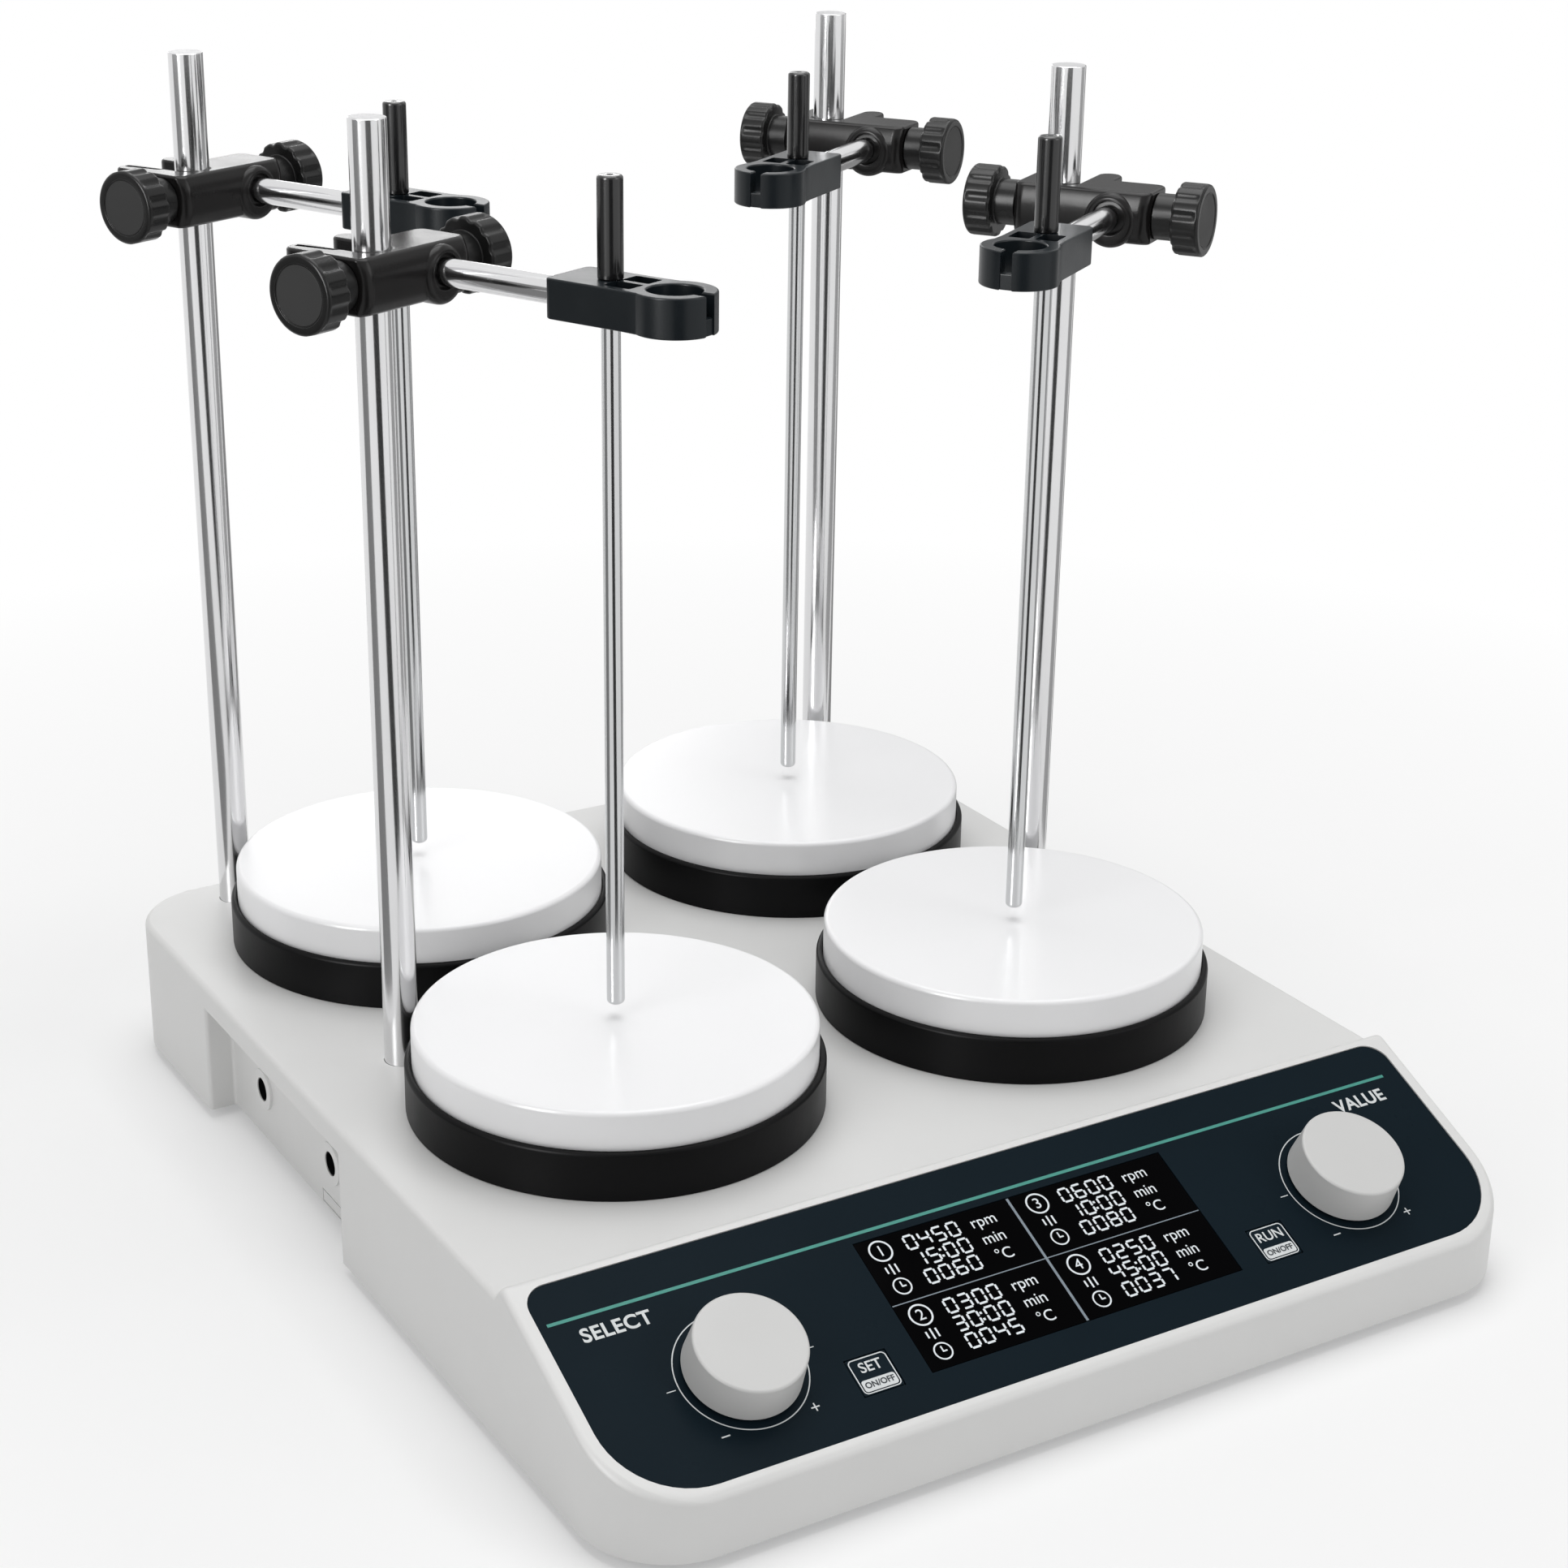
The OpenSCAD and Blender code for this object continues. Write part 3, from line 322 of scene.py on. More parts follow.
def baked(piece):
    """A new mesh of what an object's curve or modifiers give."""
    bpy.context.view_layer.update()
    return bpy.data.meshes.new_from_object(piece.evaluated_get(bpy.context.evaluated_depsgraph_get()))


def coat(piece, finish):
    """Gives an object its one finish."""
    piece.data.materials.clear()
    piece.data.materials.append(finish)


class Skin:
    """Collects surfaces, in millimetres, into the mesh of one piece."""

    def __init__(self):
        self.points, self.faces, self.count = [], [], 0

    def add(self, points, *faces):
        """Takes points and tables of faces that count from zero."""
        self.points.append(np.reshape(points, (-1, 3)))
        for table in faces:
            self.faces += (table + self.count).tolist()
        self.count += len(self.points[-1])

    def grid(self, points, around=False, capped=False, flip=False):
        """Takes a grid of points: quads between neighbours, closed round its rows, with flat ends if capped."""
        rows, columns = points.shape[:2]
        index = np.arange(rows * columns).reshape(rows, columns)
        ends = [index[:1, ::-1], index[-1:]] if capped else []
        if around:
            index = np.hstack([index, index[:, :1]])
        quads = np.stack([index[:-1, :-1], index[:-1, 1:], index[1:, 1:], index[1:, :-1]], axis=-1).reshape(-1, 4)
        self.add(points, quads[:, ::-1] if flip else quads, *ends)

    def lathe(self, profile, place, sides):
        """Takes a turned profile; ends on the axis close to a point."""
        self.grid(put(turned(profile, sides), place), around=True)

    def slab(self, loop, low, high, place, edge=0.0, steps=5, shift=None):
        """Prism over an outline: near its ends, ring a is drawn in by e(1 - sin a) at a height of e(1 - cos a).

        A shift moves the rings' points, and has seven more rings between the ends to work on.
        """
        a = np.linspace(0, np.pi / 2, steps + 1) if edge > 0 else np.array([np.pi / 2])
        rise, draw = edge * (1 - np.cos(a)), edge * (1 - np.sin(a))
        middle = between(low + edge, high - edge, 7) if shift else np.zeros(0)
        heights = np.r_[low + rise, middle, high - rise[::-1]]
        draws = np.r_[draw, 0 * middle, draw[::-1]]
        rings = np.stack([np.c_[drawn_in(loop, d), np.full(len(loop), h)] for d, h in zip(draws, heights)])
        self.grid(put(shift(rings) if shift else rings, place), around=True, capped=True)

    def words(self, text, size, at, place, bold=0.0, spacing=1.0):
        """Lettering in a place's first two axes, as thin solid letters; the second axis points down the page."""
        curve = bpy.data.curves.new("words", "FONT")
        curve.body, curve.size, curve.align_x, curve.align_y = text, size, "CENTER", "CENTER"
        curve.extrude, curve.space_character, curve.offset = PRINT / 2, spacing, bold
        piece = linked("words", curve)
        mesh = baked(piece)
        points = np.empty(3 * len(mesh.vertices))
        mesh.vertices.foreach_get("co", points)
        points = points.reshape(-1, 3) * [1, -1, 1] + [at[0], at[1], FLOAT + PRINT / 2]
        mesh.calc_loop_triangles()
        faces = np.empty(3 * len(mesh.loop_triangles), int)
        mesh.loop_triangles.foreach_get("vertices", faces)
        self.add(put(points, place), faces.reshape(-1, 3))
        bpy.data.objects.remove(piece)
        bpy.data.curves.remove(curve)
        bpy.data.meshes.remove(mesh)

    def mesh(self, name):
        """The mesh in metres: doubles merged, flat slivers removed and faces turned outwards."""
        mesh = bpy.data.meshes.new(name)
        mesh.from_pydata((np.vstack(self.points) * MM).tolist(), [], self.faces)
        work = bmesh.new()
        work.from_mesh(mesh)
        bmesh.ops.remove_doubles(work, verts=work.verts, dist=2e-7)
        bmesh.ops.dissolve_degenerate(work, edges=work.edges, dist=1e-7)
        bmesh.ops.recalc_face_normals(work, faces=work.faces)
        work.to_mesh(mesh)
        work.free()
        return mesh

    def piece(self, name, finish, body, slot, stands_for=(), less=()):
        """The finished object: cut by other skins in turn, smooth up to the crease angle, and riding on its body."""
        made = linked(name, self.mesh(name))
        for skin in less:
            cut_away(made, skin)
        made.data.polygons.foreach_set("use_smooth", np.ones(len(made.data.polygons), bool))
        made.data.set_sharp_from_angle(angle=CREASE)
        made.modifiers.new("Even shading", "WEIGHTED_NORMAL").keep_sharp = True
        coat(made, finish)
        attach(made, body)
        if stands_for:
            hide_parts(*stands_for)


def lathed(name, profile, place, sides, *rest):
    """The piece that one turned profile makes."""
    skin = Skin()
    skin.lathe(profile, place, sides)
    skin.piece(name, *rest)


def cut_away(piece, skin):
    """Takes a skin's solids out of a piece."""
    tool = linked("cutter", skin.mesh("cutter"))
    boolean = piece.modifiers.new("Cut", "BOOLEAN")
    boolean.object, boolean.operation, boolean.solver = tool, "DIFFERENCE", "EXACT"
    result = baked(piece)
    piece.modifiers.clear()
    spare = tool.data, piece.data
    piece.data, result.name = result, piece.name
    bpy.data.objects.remove(tool)
    for mesh in spare:
        bpy.data.meshes.remove(mesh)
    if len(result.polygons) < 8:
        raise RuntimeError(f"{piece.name}: nothing is left after the cut")


# Finishes


class Wire:
    """One shader value; arithmetic on it adds Math nodes."""

    def __init__(self, finish, socket):
        self.finish, self.socket = finish, socket

    def _math(self, operation, other):
        return self.finish.node("ShaderNodeMath", {"operation": operation}, {0: self, 1: other})

    def __add__(self, other):
        return self._math("ADD", other)

    def __sub__(self, other):
        return self._math("SUBTRACT", other)

    def __mul__(self, other):
        return self._math("MULTIPLY", other)

    def __gt__(self, other):
        return self._math("GREATER_THAN", other)

    __radd__ = __add__
    __rmul__ = __mul__


class Finish:
    """A node tree under construction, for the world or for a new material of the given name."""

    def __init__(self, owner):
        self.owner = bpy.data.materials.new(owner) if isinstance(owner, str) else owner
        self.owner.use_nodes = True
        self.tree = self.owner.node_tree
        self.tree.nodes.clear()

    def node(self, kind, settings=None, sockets=None, out=0):
        """Adds a node: settings are set first, then each socket gets a value or a link."""
        made = self.tree.nodes.new(kind)
        for key, value in (settings or {}).items():
            setattr(made, key, value)
        for key, value in (sockets or {}).items():
            if isinstance(value, Wire):
                self.tree.links.new(value.socket, made.inputs[key])
            else:
                made.inputs[key].default_value = value
        return Wire(self, made.outputs[out]) if len(made.outputs) else None

    def noise(self, scale, detail=3.0, stretch=None):
        """Noise over Object coordinates, stretched along an axis if asked, around 0.5."""
        at = self.node("ShaderNodeTexCoord", out="Object")
        if stretch:
            at = self.node("ShaderNodeMapping", None, {"Vector": at, "Scale": stretch})
        return self.node("ShaderNodeTexNoise", None, {"Vector": at, "Scale": scale, "Detail": detail})

    def spread(self, value, low, high):
        """The value's span from low to high, widened to 0 to 1."""
        return self.node("ShaderNodeMapRange", None, {0: value, 1: low, 2: high})

    def tint(self, amount, first, second):
        """Colour between two colours."""
        return self.node("ShaderNodeMix", {"data_type": "RGBA"}, {0: amount, 6: (*first, 1), 7: (*second, 1)}, out=2)

    def bump(self, height, distance):
        """Normal raised by a height, whose full span is the distance in metres."""
        return self.node("ShaderNodeBump", None, {"Strength": 1.0, "Distance": distance, "Height": height})

    def surface(self, colour, rough, normal=None, **constants):
        """The material with one principled surface."""
        sockets = {"Base Color": colour, "Roughness": rough}
        if normal is not None:
            sockets["Normal"] = normal
        sockets.update({key.replace("_", " "): value for key, value in constants.items()})
        return self.close(self.node("ShaderNodeBsdfPrincipled", None, sockets))

    def close(self, shader):
        """The material, with the shader as its surface."""
        self.node("ShaderNodeOutputMaterial", None, {"Surface": shader})
        return self.owner

    def seen(self):
        """One for rays of the camera, of reflections and of transmission, and nothing for the rest."""
        rays = [self.node("ShaderNodeLightPath", out=ray) for ray in
                ("Is Camera Ray", "Is Glossy Ray", "Is Transmission Ray")]
        return (rays[0] + rays[1] + rays[2]) > 0.5


def dim(colour, factor):
    """The colour, lighter or darker."""
    return tuple(min(1.0, part * factor) for part in colour)


def moulded(name, colour, rough, grain, depth, wander=0.06, shine=0.5, **constants):
    """Moulded plastic: faint cloudy tone, fine grain in the surface and slightly uneven gloss."""
    made = Finish(name)
    cloud = made.spread(made.noise(22, 4), 0.3, 0.7)
    return made.surface(made.tint(cloud, dim(colour, 1 - wander), dim(colour, 1 + wander)),
                        rough + 0.16 * (made.noise(60, 5) - 0.5), made.bump(made.noise(grain, 2), depth),
                        Specular_IOR_Level=shine, **constants)


def polished(name, colour, rough, stretch=(1, 1, 1)):
    """Polished metal: hairlines and soft smears in the gloss, and a faint change of tone."""
    made = Finish(name)
    hair = made.noise(900, 2, stretch)
    smear = made.spread(made.noise(35, 4), 0.35, 0.75)
    return made.surface(made.tint(smear, colour, dim(colour, 0.95)), rough + 0.04 * smear + 0.02 * (hair - 0.5),
                        Metallic=1.0)


def glazed(name, colour):
    """Glazed ceramic plate: white with faint haze, a soft wave in the glaze and slightly uneven gloss."""
    made = Finish(name)
    haze = made.noise(9, 1)
    return made.surface(made.tint(haze, colour, dim(colour, 0.97)), 0.26 + 0.06 * haze, made.bump(haze, 4e-6),
                        Coat_Weight=0.15, Coat_Roughness=0.15)


def printed(name, colour, rough=0.5, glow=0.0):
    """Screen-printed ink: slightly patchy cover with a fine tooth; display figures also shine a little."""
    made = Finish(name)
    patch = made.spread(made.noise(260, 4), 0.3, 0.7)
    ink = made.tint(patch, dim(colour, 0.9), colour)
    constants = {"Emission_Color": ink, "Emission_Strength": glow} if glow else {}
    return made.surface(ink, rough + 0.1 * (patch - 0.5), made.bump(made.noise(1500, 2), 4e-6), **constants)


def cast(name, colour, rough, metal=0.0, shine=0.5):
    """Painted casting: leathery grain, paler where it is rubbed, and uneven gloss."""
    made = Finish(name)
    rub = made.spread(made.noise(48, 5), 0.45, 0.8)
    return made.surface(made.tint(rub, colour, dim(colour, 1.25)), rough + 0.12 * (made.noise(90, 4) - 0.5),
                        made.bump(made.noise(900, 3), 1.5e-5), Metallic=metal, Specular_IOR_Level=shine)


# Stage


class STIRRER_OT_stage(bpy.types.Operator):
    """Sets the pale floor, the soft lamps, the white surround and the camera."""
    bl_idname = "stirrer.stage"
    bl_label = "Stage"

    def execute(self, context):
        looks = context.scene.stirrer_stage
        self.surround(context, looks)
        self.floor(looks)
        self.lamps()
        self.cards()
        self.camera(context, looks)
        context.scene.view_settings.view_transform = "Standard"
        return {"FINISHED"}

    def surround(self, context, looks):
        """White world for camera, glossy and transmitted rays, and an even light for the rest."""
        world = bpy.data.worlds.new("Surround")
        context.scene.world = world
        made = Finish(world)
        strength = looks.ambient + (1 - looks.ambient) * made.seen()
        light = made.node("ShaderNodeBackground", None, {"Color": (1, 1, 1, 1), "Strength": strength})
        made.node("ShaderNodeOutputWorld", None, {"Surface": light})

    def floor(self, looks):
        """Level square; away from the object it shows plain white, and near it the soft shadow."""
        span = np.linspace(-8000, 8000, 41)
        x, y = np.meshgrid(span, span, indexing="ij")
        skin = Skin()
        skin.grid(np.stack([x, y, 0 * x], axis=-1))
        finish = Finish("floor_pale")
        away = finish.node("ShaderNodeVectorMath", {"operation": "LENGTH"},
                           {0: finish.node("ShaderNodeTexCoord", out="Object")}, out=1)
        bright = finish.seen() * (0.3 + 0.7 * finish.spread(away, 0.3, 0.75))
        cloud = finish.spread(finish.noise(2, 2), 0.3, 0.7)
        pale = finish.node("ShaderNodeBsdfDiffuse", None,
                           {"Color": finish.tint(cloud, looks.floor, dim(looks.floor, 0.99))})
        white = finish.node("ShaderNodeEmission", None, {"Color": (1, 1, 1, 1), "Strength": 1.0})
        both = finish.node("ShaderNodeMixShader", None, {0: bright, 1: pale, 2: white})
        self.prop("floor", skin, finish.close(both))

    def prop(self, name, skin, finish):
        """A thing that belongs to the stage and not to the object."""
        made = linked(name, skin.mesh(name))
        coat(made, finish)
        return made

    def stand(self, name, data, place, *axes):
        """A lamp or camera at a place in metres, along three axes."""
        made = linked(name, data)
        made.matrix_world = Matrix.Translation(place) @ Matrix(np.stack(axes, axis=1).tolist()).to_4x4()
        return made

    def lamps(self):
        """Large soft lamps above, at the left and at the right."""
        for name, place, aim, size, power in (
            ("lamp_above", (0.15, 0.25, 2.1), (0, 0, 0.1), 1.7, 27),
            ("lamp_left", (-1.9, -0.6, 1.5), (0, 0, 0.15), 1.2, 9),
            ("lamp_right", (1.3, -1.9, 1.2), (0, 0, 0.1), 1.3, 10),
        ):
            lamp = bpy.data.lights.new(name, "AREA")
            lamp.shape, lamp.size, lamp.energy = "SQUARE", size, power
            back = unit(np.subtract(place, aim))
            side = unit(np.cross((0, 1, 0.01), back))
            self.stand(name, lamp, place, side, np.cross(back, side), back)

    def cards(self):
        """Cards that only reflections see: sectors r (cos a, sin a) on the floor and strips that stand round."""
        far, lying_z = 3200, 1.5
        for name, azimuth, spread, near, low, tilt, high, tone in (
            ("card_dark", 249, 16, 300, 150, 0, 1300, 0.05), ("card_grey", 171, 19, 300, 150, 0, 1300, 0.25),
            ("card_pale", 350, 18, 320, 150, 0, 1300, 0.4), ("card_shade", 38, 20, 320, 150, 0, 1300, 0.3),
            ("card_bright", 71.5, 10.5, 3150, 870, 10, 1250, 4.8),
            ("card_front", 198.5, 8, 3150, 150, 0, 2600, 16.0),
        ):
            finish = Finish(name)
            light = finish.node("ShaderNodeEmission", None, {
                "Color": finish.tint(finish.noise(2), (1, 1, 1), (0.96, 0.96, 0.96)), "Strength": tone})
            turn = np.linspace(-spread, spread, 13)[:, None]
            a = np.radians(azimuth + turn)
            r, h = np.linspace(near, far, 9), np.linspace(low - tilt * turn[:, 0], high, 5).T
            lying = np.stack([r * np.cos(a), r * np.sin(a), lying_z + 0 * r * a], axis=-1)
            standing = np.stack([far * np.cos(a) + 0 * h, far * np.sin(a) + 0 * h, h], axis=-1)
            skin = Skin()
            skin.grid(lying)
            skin.grid(standing)
            made = self.prop(name, skin, finish.close(light))
            made.visible_camera = made.visible_diffuse = made.visible_shadow = made.visible_transmission = False

    def camera(self, context, looks):
        """Camera in front, to the left and above, turned by the picture's small roll."""
        place = np.array([-0.48307, -0.8049, 0.51266])
        ahead = unit([0.4825, 0.7936, -0.3706])
        right = unit(np.cross(ahead, (0, 0, 1)))
        down = np.cross(ahead, right)
        across = np.cos(looks.roll) * right + np.sin(looks.roll) * down
        lens = bpy.data.cameras.new("camera")
        lens.lens, lens.sensor_width, lens.sensor_fit = looks.lens, 36, "HORIZONTAL"
        context.scene.camera = self.stand("camera", lens, place, across, np.cross(across, ahead), -ahead)


# Housing


EDGE_ROWS = 10  # rows of the grid across a rounded edge


class STIRRER_OT_housing(bpy.types.Operator):
    """Builds the moulded housing with its soft edges, raised lip, sloped face, hand recesses and socket bezels."""
    bl_idname = "stirrer.housing"
    bl_label = "Housing"

    def execute(self, context):
        looks = context.scene.stirrer_housing
        outer = self.shell(looks, 0.0)
        inner = self.shell(looks, looks.wall / MM)
        skin = Skin()
        for (top, wall), flip in ((outer, False), (inner, True)):
            skin.grid(top, flip=flip)
            skin.grid(wall, around=True, flip=flip)
        skin.grid(np.stack([outer[1][-1], inner[1][-1]]), around=True)
        white = moulded("housing_white_plastic", looks.white, 0.42, 1400, 1.2e-5, wander=0.012)
        skin.piece("housing_shell", white, "base", "housing_white", ["housing"], less=self.openings())
        bezels = Skin()
        face = box("sensor_sockets")[1][0] - abs(spot(SOCKETS[0])[0])
        bore, foot, rim, low, high = 4.35, 7.23, 7.65, face + 0.03, face + 0.5
        profile = rounded([(bore, low), (foot, low), (foot, face - 0.65), (rim, face - 0.65), (rim, high),
                           (bore, high), (bore, low)], (0, 0, 0, 0.3, 0.25))
        for row in SOCKETS:
            bezels.lathe(profile, along(spot(row), row["axis"]), 64)
        bezels.piece("socket_bezel_set", white, "base", "housing_white")
        return {"FINISHED"}

    def shell(self, looks, margin):
        """Top and wall of the shell, drawn in by a margin.

        Top: height H(y) less R - sqrt(R^2 - (R - d)^2), where d is the distance from the rounded outline.
        Wall: the outline run down to the base, pushed in by the recess depth below the recess's top.
        """
        radius, corner = looks.edge / MM, looks.corner / MM - margin
        front, back = HOUSE_LOW[1] + margin, HOUSE_HIGH[1] - margin
        middle = (HOUSE_LOW[1] + HOUSE_HIGH[1]) / 2
        flat_x, flat_y = HOUSE_HIGH[0] - margin - corner, (back - front) / 2 - corner
        ridge = self.ridge(looks, front, back)
        rows, push = self.rows(looks, margin, front, back, corner, ridge)
        over = np.maximum(0, np.abs(rows - middle) - flat_y)
        width = (flat_x + np.sqrt(np.maximum(0, corner ** 2 - over ** 2)))[:, None]
        near = radius * eased(EDGE_ROWS)
        x = np.hstack([near - width, np.linspace(-1, 1, 49) * (width - 2 * radius), width - near[::-1]])
        y = np.repeat(rows[:, None], x.shape[1], axis=1)
        reach = np.stack([np.abs(x) - flat_x, np.abs(y - middle) - flat_y])
        inside = corner - np.linalg.norm(np.maximum(reach, 0), axis=0) - np.minimum(reach.max(axis=0), 0)
        short = radius - np.clip(inside, 0, radius)
        height = np.interp(y, ridge[:, 0], ridge[:, 1]) - margin
        top = np.stack([x, y, height - radius + np.sqrt(np.maximum(0, radius ** 2 - short ** 2))], axis=-1)
        border = np.vstack([top[0], top[1:, -1], top[-1, -2::-1], top[-2:0:-1, 0]])
        across = np.zeros(x.shape[1])
        inward = np.r_[across, push[1:], across[1:], push[-2:0:-1]]
        return top, self.wall(border, inward, RECESS_TOP + margin)

    def ridge(self, looks, front, back):
        """Height along the middle: up the slope to the lip, down behind it and level to the back."""
        lip = PANEL_AT - OVERLAY_DOWN * PANEL_DOWN + OVERLAY_SINK * PANEL_OUT
        fall = PANEL_DOWN[2] / PANEL_DOWN[1]
        return rounded([(front - 1, lip[2] - fall * (lip[1] - front + 1)), (lip[1], lip[2]),
                        (lip[1] + looks.lip_run / MM, DECK_Z), (back + 1, DECK_Z)], (2.5, 2.5), 6)

    def rows(self, looks, margin, front, back, corner, ridge):
        """Places of the grid's rows, and how far the recess pushes the walls in at each."""
        ends = np.sort(np.r_[corner * eased(15), looks.edge / MM * eased(EDGE_ROWS)])
        y0, y1, depth = RECESS_Y[0] - margin, RECESS_Y[1] + margin, looks.recess / MM
        turn, inner, run = looks.recess_turn / MM, 1.2, 40
        level = np.linspace(y0 + 12, y1 - 12, 10)
        side = rounded([(y0 - run, 0), (y0, 0), (y0, depth), *((y, depth) for y in level), (y1, depth), (y1, 0),
                        (y1 + run, 0)], (turn / 2, inner, *(0 * level), inner, turn), 7)
        rows = np.r_[front + ends, between(front + corner, ridge[1, 0], 10), ridge[1:-1, 0],
                     between(ridge[-2, 0], side[0, 0], 8), side[:, 0], between(side[-1, 0], back - corner, 3),
                     back - ends[::-1]]
        push = np.zeros(len(rows))
        first = int(np.flatnonzero(rows == side[0, 0])[0])
        push[first:first + len(side)] = side[:, 1]
        return rows, push

    def wall(self, border, inward, ledge):
        """Wall below the top's border: straight down, in along the recess's ceiling, and down to the base."""
        base = HOUSE_LOW[2]
        drawn = 10.0  # the fillet is drawn at this depth, and each column takes its own share of it
        fillet = rounded([(0, ledge + 3), (0, ledge), (drawn, ledge), (drawn, base)], (0.6, 1.2), 6)[:-1]
        levels = np.vstack([fillet, np.c_[np.full(6, drawn), np.linspace(ledge - 6, base, 6)]])
        x = border[:, 0] - np.sign(border[:, 0]) * inward * levels[:, :1] / drawn
        z = np.minimum(levels[:, 1:], border[:, 2])
        lower = np.stack([x, np.broadcast_to(border[:, 1], x.shape), z], axis=-1)
        return np.concatenate([border[None], lower])

    def openings(self):
        """The panel's pocket, and then windows, rod holes, socket holes, the inlet's hole and the latch grooves."""
        shaft_r, rod_r, socket_r, key_gap, inlet_rim = 4.7, 6.2, 5.75, 0.3, 2.7
        film, window = rect(-165, 0, 165, 79), rect(-62.3, 13.7, 62.3, 70.3)
        pocket, cutter = Skin(), Skin()
        pocket.slab(rounded_loop(film, (8, 8, 27, 27), 12), -OVERLAY_T - 0.01, 8, PANEL)
        through = (-12, 4, PANEL)
        cutter.slab(window, *through)
        for side in SIDES:
            cutter.slab(centred(KEY_AT[side], KEY_HALF + key_gap), *through)
            cutter.slab(circle(KNOB_AT[side], shaft_r, 24), *through)
        for i in STATIONS:
            cutter.slab(circle((0, 0), rod_r, 48), -20, 20, upright(ROD_FOOT[i], DECK_Z))
        for row in SOCKETS:
            cutter.slab(circle((0, 0), socket_r, 24), -9, 9, along(spot(row), row["axis"]))
        low, high = box("mains_inlet")
        rear = (np.array([0.0, HOUSE_HIGH[1], 0.0]), np.array([[1.0, 0, 0], [0, 0, 1], [0, -1, 0]]))
        cutter.slab(rect(*(low[::2] + inlet_rim), *(high[::2] - inlet_rim)), -10, 10, rear)
        latch, latch_half, latch_line, latch_deep = np.array([16.0, 3.1]), (12.0, 2.5), 0.5, 2.0
        for sign in SIDES.values():
            wall = np.array([sign * (HOUSE_HIGH[0] - 10.5), 0.0, HOUSE_LOW[2]])
            loop = centred(latch * (sign, 1), latch_half)
            outline_band(cutter, loop, latch_line, along(wall, (sign, 0, 0)), latch_deep)
        return pocket, cutter


class STIRRER_OT_plates(bpy.types.Operator):
    """Turns the insulating rings and the heating plates."""
    bl_idname = "stirrer.plates"
    bl_label = "Rings and plates"

    def execute(self, context):
        looks = context.scene.stirrer_housing
        offset = PLATE_MIDDLE[3][0]
        ring_r, ring_low, ring_high = round_size("insulating_rings", offset)
        plate_r, low, high = round_size("heating_plates", offset)
        bore, seat = plate_r - 8, plate_r + 0.3
        ring = rounded([(bore, ring_low + 2), (bore, ring_low), (ring_r, ring_low), (ring_r, ring_high),
                        (seat, ring_high), (seat, low), (bore, low), (bore, ring_low + 2)],
                       (0, 0.5, looks.ring_edge / MM, 0.5, 0, 0))
        plate = plug(plate_r, low, high, 0.4, looks.plate_edge / MM, 8)
        plate = np.vstack([plate[:-1], np.c_[np.linspace(plate[-2, 0], 0, 8)[1:], np.full(7, high)]])
        rings, plates = Skin(), Skin()
        for i in STATIONS:
            place = upright(PLATE_MIDDLE[i])
            rings.lathe(ring, place, 180)
            plates.lathe(plate, place, 180)
        black = moulded("ring_satin_black", looks.ring, 0.36, 900, 1.5e-5, wander=0.15, shine=0.08)
        rings.piece("insulating_ring_set", black, "base", "ring_black", ["insulating_rings"])
        plates.piece("heating_plate_set", glazed("plate_glaze", looks.plate), "base", "plate_white",
                     ["heating_plates"])
        return {"FINISHED"}


# Stands


def boss_place(i):
    """Boss clamp's own axes: along the clamp screws, against the cross arm, and up."""
    first = -np.array(JOINTS[f"rod_screw_turn_{i}"]["axis"])
    second = -np.array(JOINTS[f"arm_slide_{i}"]["axis"])
    middle = np.array([*ROD_FOOT[i][:2], spot(JOINTS[f"rod_screw_turn_{i}"])[2]])
    return middle, np.stack([first, second, [0.0, 0.0, 1.0]])


def probe_place(i):
    """Sensor holder's own axes: the boss clamp's, moved over the middle of the plate."""
    middle, axes = boss_place(i)
    return np.array([*PLATE_MIDDLE[i][:2], middle[2]]), axes


class STIRRER_OT_rods(bpy.types.Operator):
    """Turns the support rods with their cut ends and the cross arms."""
    bl_idname = "stirrer.rods"
    bl_label = "Rods and arms"

    def execute(self, context):
        looks = context.scene.stirrer_stands
        upright_chrome = polished("rod_chrome_polish", looks.chrome, 0.12, (1, 1, 0.02))
        arm_chrome = polished("arm_chrome_polish", looks.chrome, 0.12, (0.2, 0.2, 1))
        cut_steel = cast("rod_end_cut_steel", dim(looks.chrome, 0.7), 0.5, 0.15, 0.3)
        for i in STATIONS:
            r, low, high = round_size(f"support_rod_{i}")
            place = upright(ROD_FOOT[i])
            lathed(f"rod_chromed_{i}", plug(r, low, high, 0.3, 0.35, 5), place, 72, upright_chrome, f"rod_{i}",
                   "rod_chrome", [f"support_rod_{i}"])
            end = plug(r - 0.3, high - 0.3, high + 0.03, 0, 0)
            lathed(f"rod_end_{i}", end, place, 72, cut_steel, f"rod_{i}", "rod_chrome")
            middle, axes = boss_place(i)
            reach = (probe_place(i)[0] - middle) @ axes.T
            length = ARM_BACK - reach[1] - HOLDER_BACK + ARM_SEAT
            back = along(put([CROSS, ARM_BACK, 0], (middle, axes)), -axes[1])
            lathed(f"arm_chromed_{i}", plug(ARM_R, 0, length, 0.7, 0.4, 5), back, 64, arm_chrome, f"arm_{i}",
                   "rod_chrome", [f"cross_arm_{i}"])
        return {"FINISHED"}


